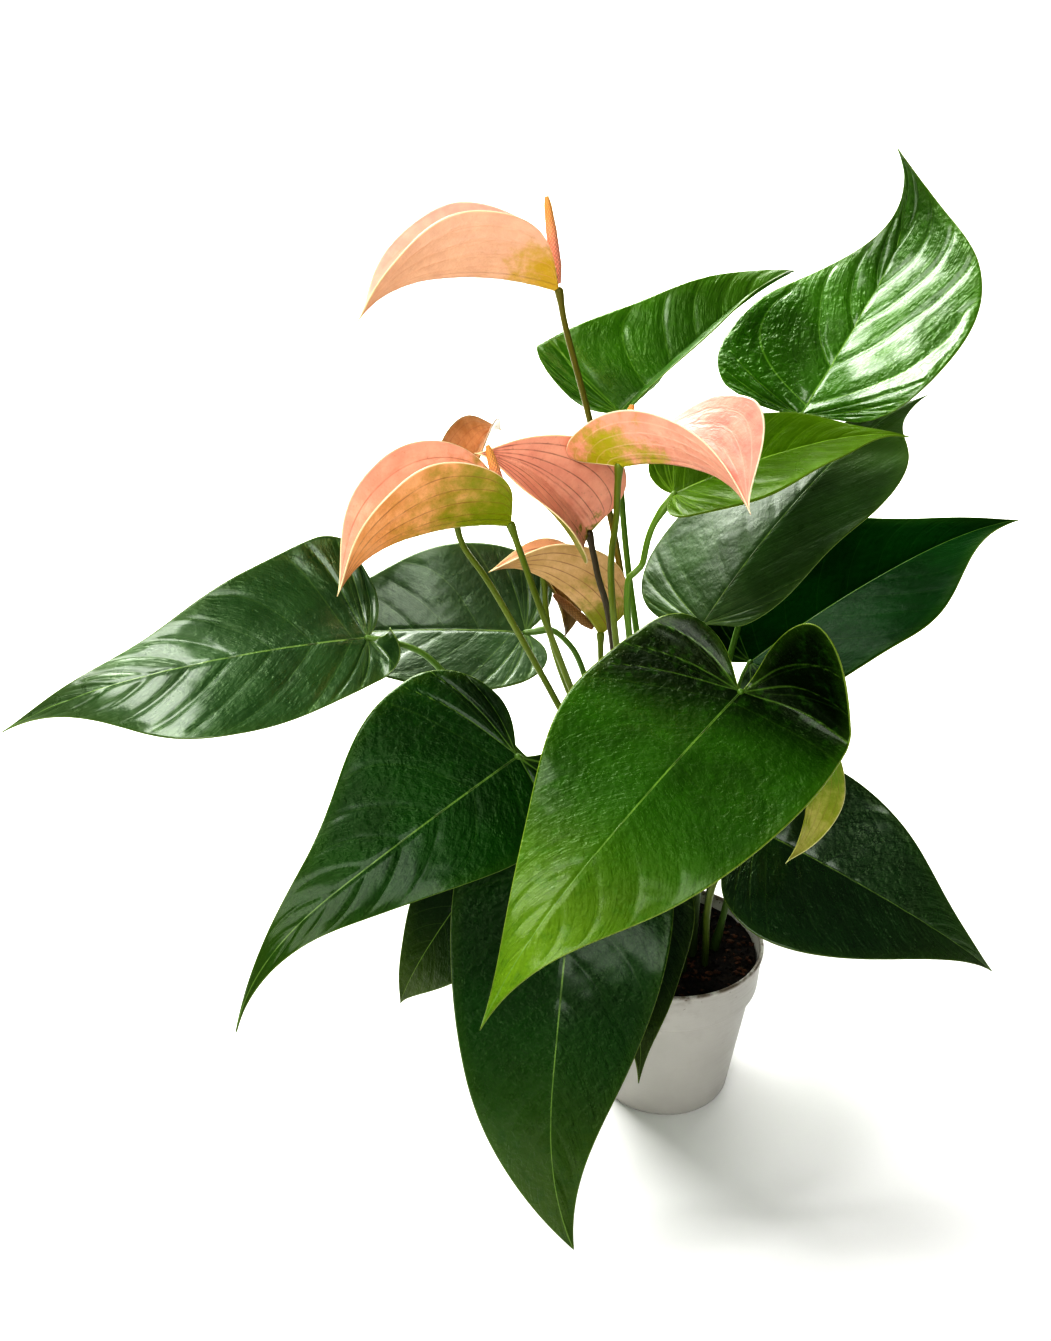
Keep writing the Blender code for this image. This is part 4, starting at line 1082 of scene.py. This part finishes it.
def make_soil():
    """Soil filled to the pot's wall, with crumbs and bits of bark pressed into it."""
    rings = np.linspace(0, 1, SOIL_RINGS) ** 0.8 * SOIL_RADIUS
    angle = np.linspace(0, 2 * np.pi, SOIL_SIDES, endpoint=False)
    x = (rings[:, None] * np.cos(angle)).ravel()
    y = (rings[:, None] * np.sin(angle)).ravel()
    top = np.column_stack([x, y, soil_height(x, y)])
    under = [[r * np.cos(a), r * np.sin(a), z] for r, z in ((SOIL_RADIUS, 90.0), (41.0, 3.0), (0.0, 3.0))
             for a in angle]
    outward = faces_of_rings(SOIL_RINGS + 3, SOIL_SIDES)[:, [0, 3, 2, 1]]
    points, faces, _ = welded(np.vstack([top, under]), outward, {})
    solid = Solid(())
    solid.add(points, faces, 0)
    finish_piece(solid.make("fine_soil", [soil_finish("soil_mix", SOIL_DARK, SOIL_LIGHT, 260.0)]), "soil")
    make_crumbs()


def make_crumbs():
    """Crumbs of peat and flakes of bark lying on the soil."""
    draw = np.random.default_rng(3)
    ball_points, ball_faces = lathe([(0.0, 1.0), (0.62, 0.75), (1.0, 0.0), (0.62, -0.75), (0.0, -1.0)], 7)
    solid = Solid(())
    for _ in range(CRUMBS):
        r = CRUMB_REACH * np.sqrt(draw.random())
        a = draw.uniform(0, 2 * np.pi)
        bark = draw.random() < BARK_SHARE
        size = draw.uniform(*(BARK_SIZES if bark else CRUMB_SIZES))
        stretch = np.array([1.0, draw.uniform(0.4, 0.8), draw.uniform(0.2, 0.4) if bark else 0.8]) * size
        lumps = ball_points * (1 + 0.25 * draw.normal(size=(len(ball_points), 1)).clip(-1.5, 1.5))
        turn, tilt = draw.uniform(0, 2 * np.pi), draw.uniform(-0.5, 0.5)
        c, s = np.cos(turn), np.sin(turn)
        rotation = np.array([[c, -s, 0], [s, c, 0], [0, 0, 1]]) @ np.array(
            [[1, 0, 0], [0, np.cos(tilt), -np.sin(tilt)], [0, np.sin(tilt), np.cos(tilt)]])
        x, y = r * np.cos(a), r * np.sin(a)
        place = np.array([x, y, float(soil_height(np.array([x]), np.array([y]))[0]) + 0.25 * stretch[2]])
        solid.add((lumps * stretch) @ rotation.T + place, ball_faces, int(bark))
    materials = [soil_finish("peat_crumb", SOIL_DARK, SOIL_LIGHT, 500.0),
                 soil_finish("bark_flake", scaled(BARK_BROWN, 0.4), BARK_BROWN, 350.0)]
    crumbs = solid.make("soil_crumbs", materials)
    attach(crumbs, "root")


def make_stage():
    """A pale floor that curves up into a backdrop."""
    bend = np.radians(np.linspace(0, 90, 24))
    line = [(FLOOR_DEPTH + FLOOR_BEND * np.sin(b), FLOOR_BEND * (1 - np.cos(b))) for b in bend]
    line = [(FLOOR_FRONT, 0.0), *line, (FLOOR_DEPTH + FLOOR_BEND, BACKDROP_HEIGHT)]
    points = [(x, y, z) for y, z in line for x in (-FLOOR_HALF_WIDTH, FLOOR_HALF_WIDTH)]
    faces = [(2 * k, 2 * k + 1, 2 * k + 3, 2 * k + 2) for k in range(len(line) - 1)]
    mesh = bpy.data.meshes.new("floor")
    mesh.from_pydata(points, [], faces)
    mesh.shade_smooth()
    f = Finish("floor_paper", 0.8, specular=0.2)
    f.done(FLOOR_PALE)
    mesh.materials.append(f.material)
    add_object("floor", mesh)


def area_light(name, place, aim, size, power):
    light = bpy.data.lights.new(name, "AREA")
    light.shape = "RECTANGLE"
    light.size, light.size_y = size
    light.energy = power
    obj = add_object(name, light)
    obj.location = place
    obj.rotation_euler = (Vector(aim) - Vector(place)).to_track_quat("-Z", "Y").to_euler()


def make_light():
    """A soft key light behind on the left, one overhead, a fill from the front and a wash on the backdrop."""
    world = bpy.data.worlds.new("studio")
    world.use_nodes = True
    background = world.node_tree.nodes["Background"]
    background.inputs["Color"].default_value = (1.0, 1.0, 1.0, 1.0)
    background.inputs["Strength"].default_value = WORLD_LIGHT
    bpy.context.scene.world = world
    for name, light in LIGHTS.items():
        area_light(name, *light)
    bpy.context.scene.view_settings.view_transform = "Standard"
    bpy.context.scene.view_settings.look = "Very High Contrast"


def make_camera():
    data = bpy.data.cameras.new("photo_view")
    data.lens = CAMERA_LENS
    data.sensor_fit = "VERTICAL"
    data.sensor_height = CAMERA_SENSOR
    camera = add_object("photo_view", data)
    camera.location = CAMERA_PLACE
    camera.rotation_euler = (np.radians(90.0 - CAMERA_PITCH), 0.0, 0.0)
    bpy.context.scene.camera = camera


make_camera()
make_stage()
make_light()
make_pot()
make_soil()
for number, (name, details) in enumerate(LEAVES.items()):
    make_leaf(name, details, number)
for number, (name, details) in enumerate(BLOOMS.items()):
    make_bloom(name, details, number)
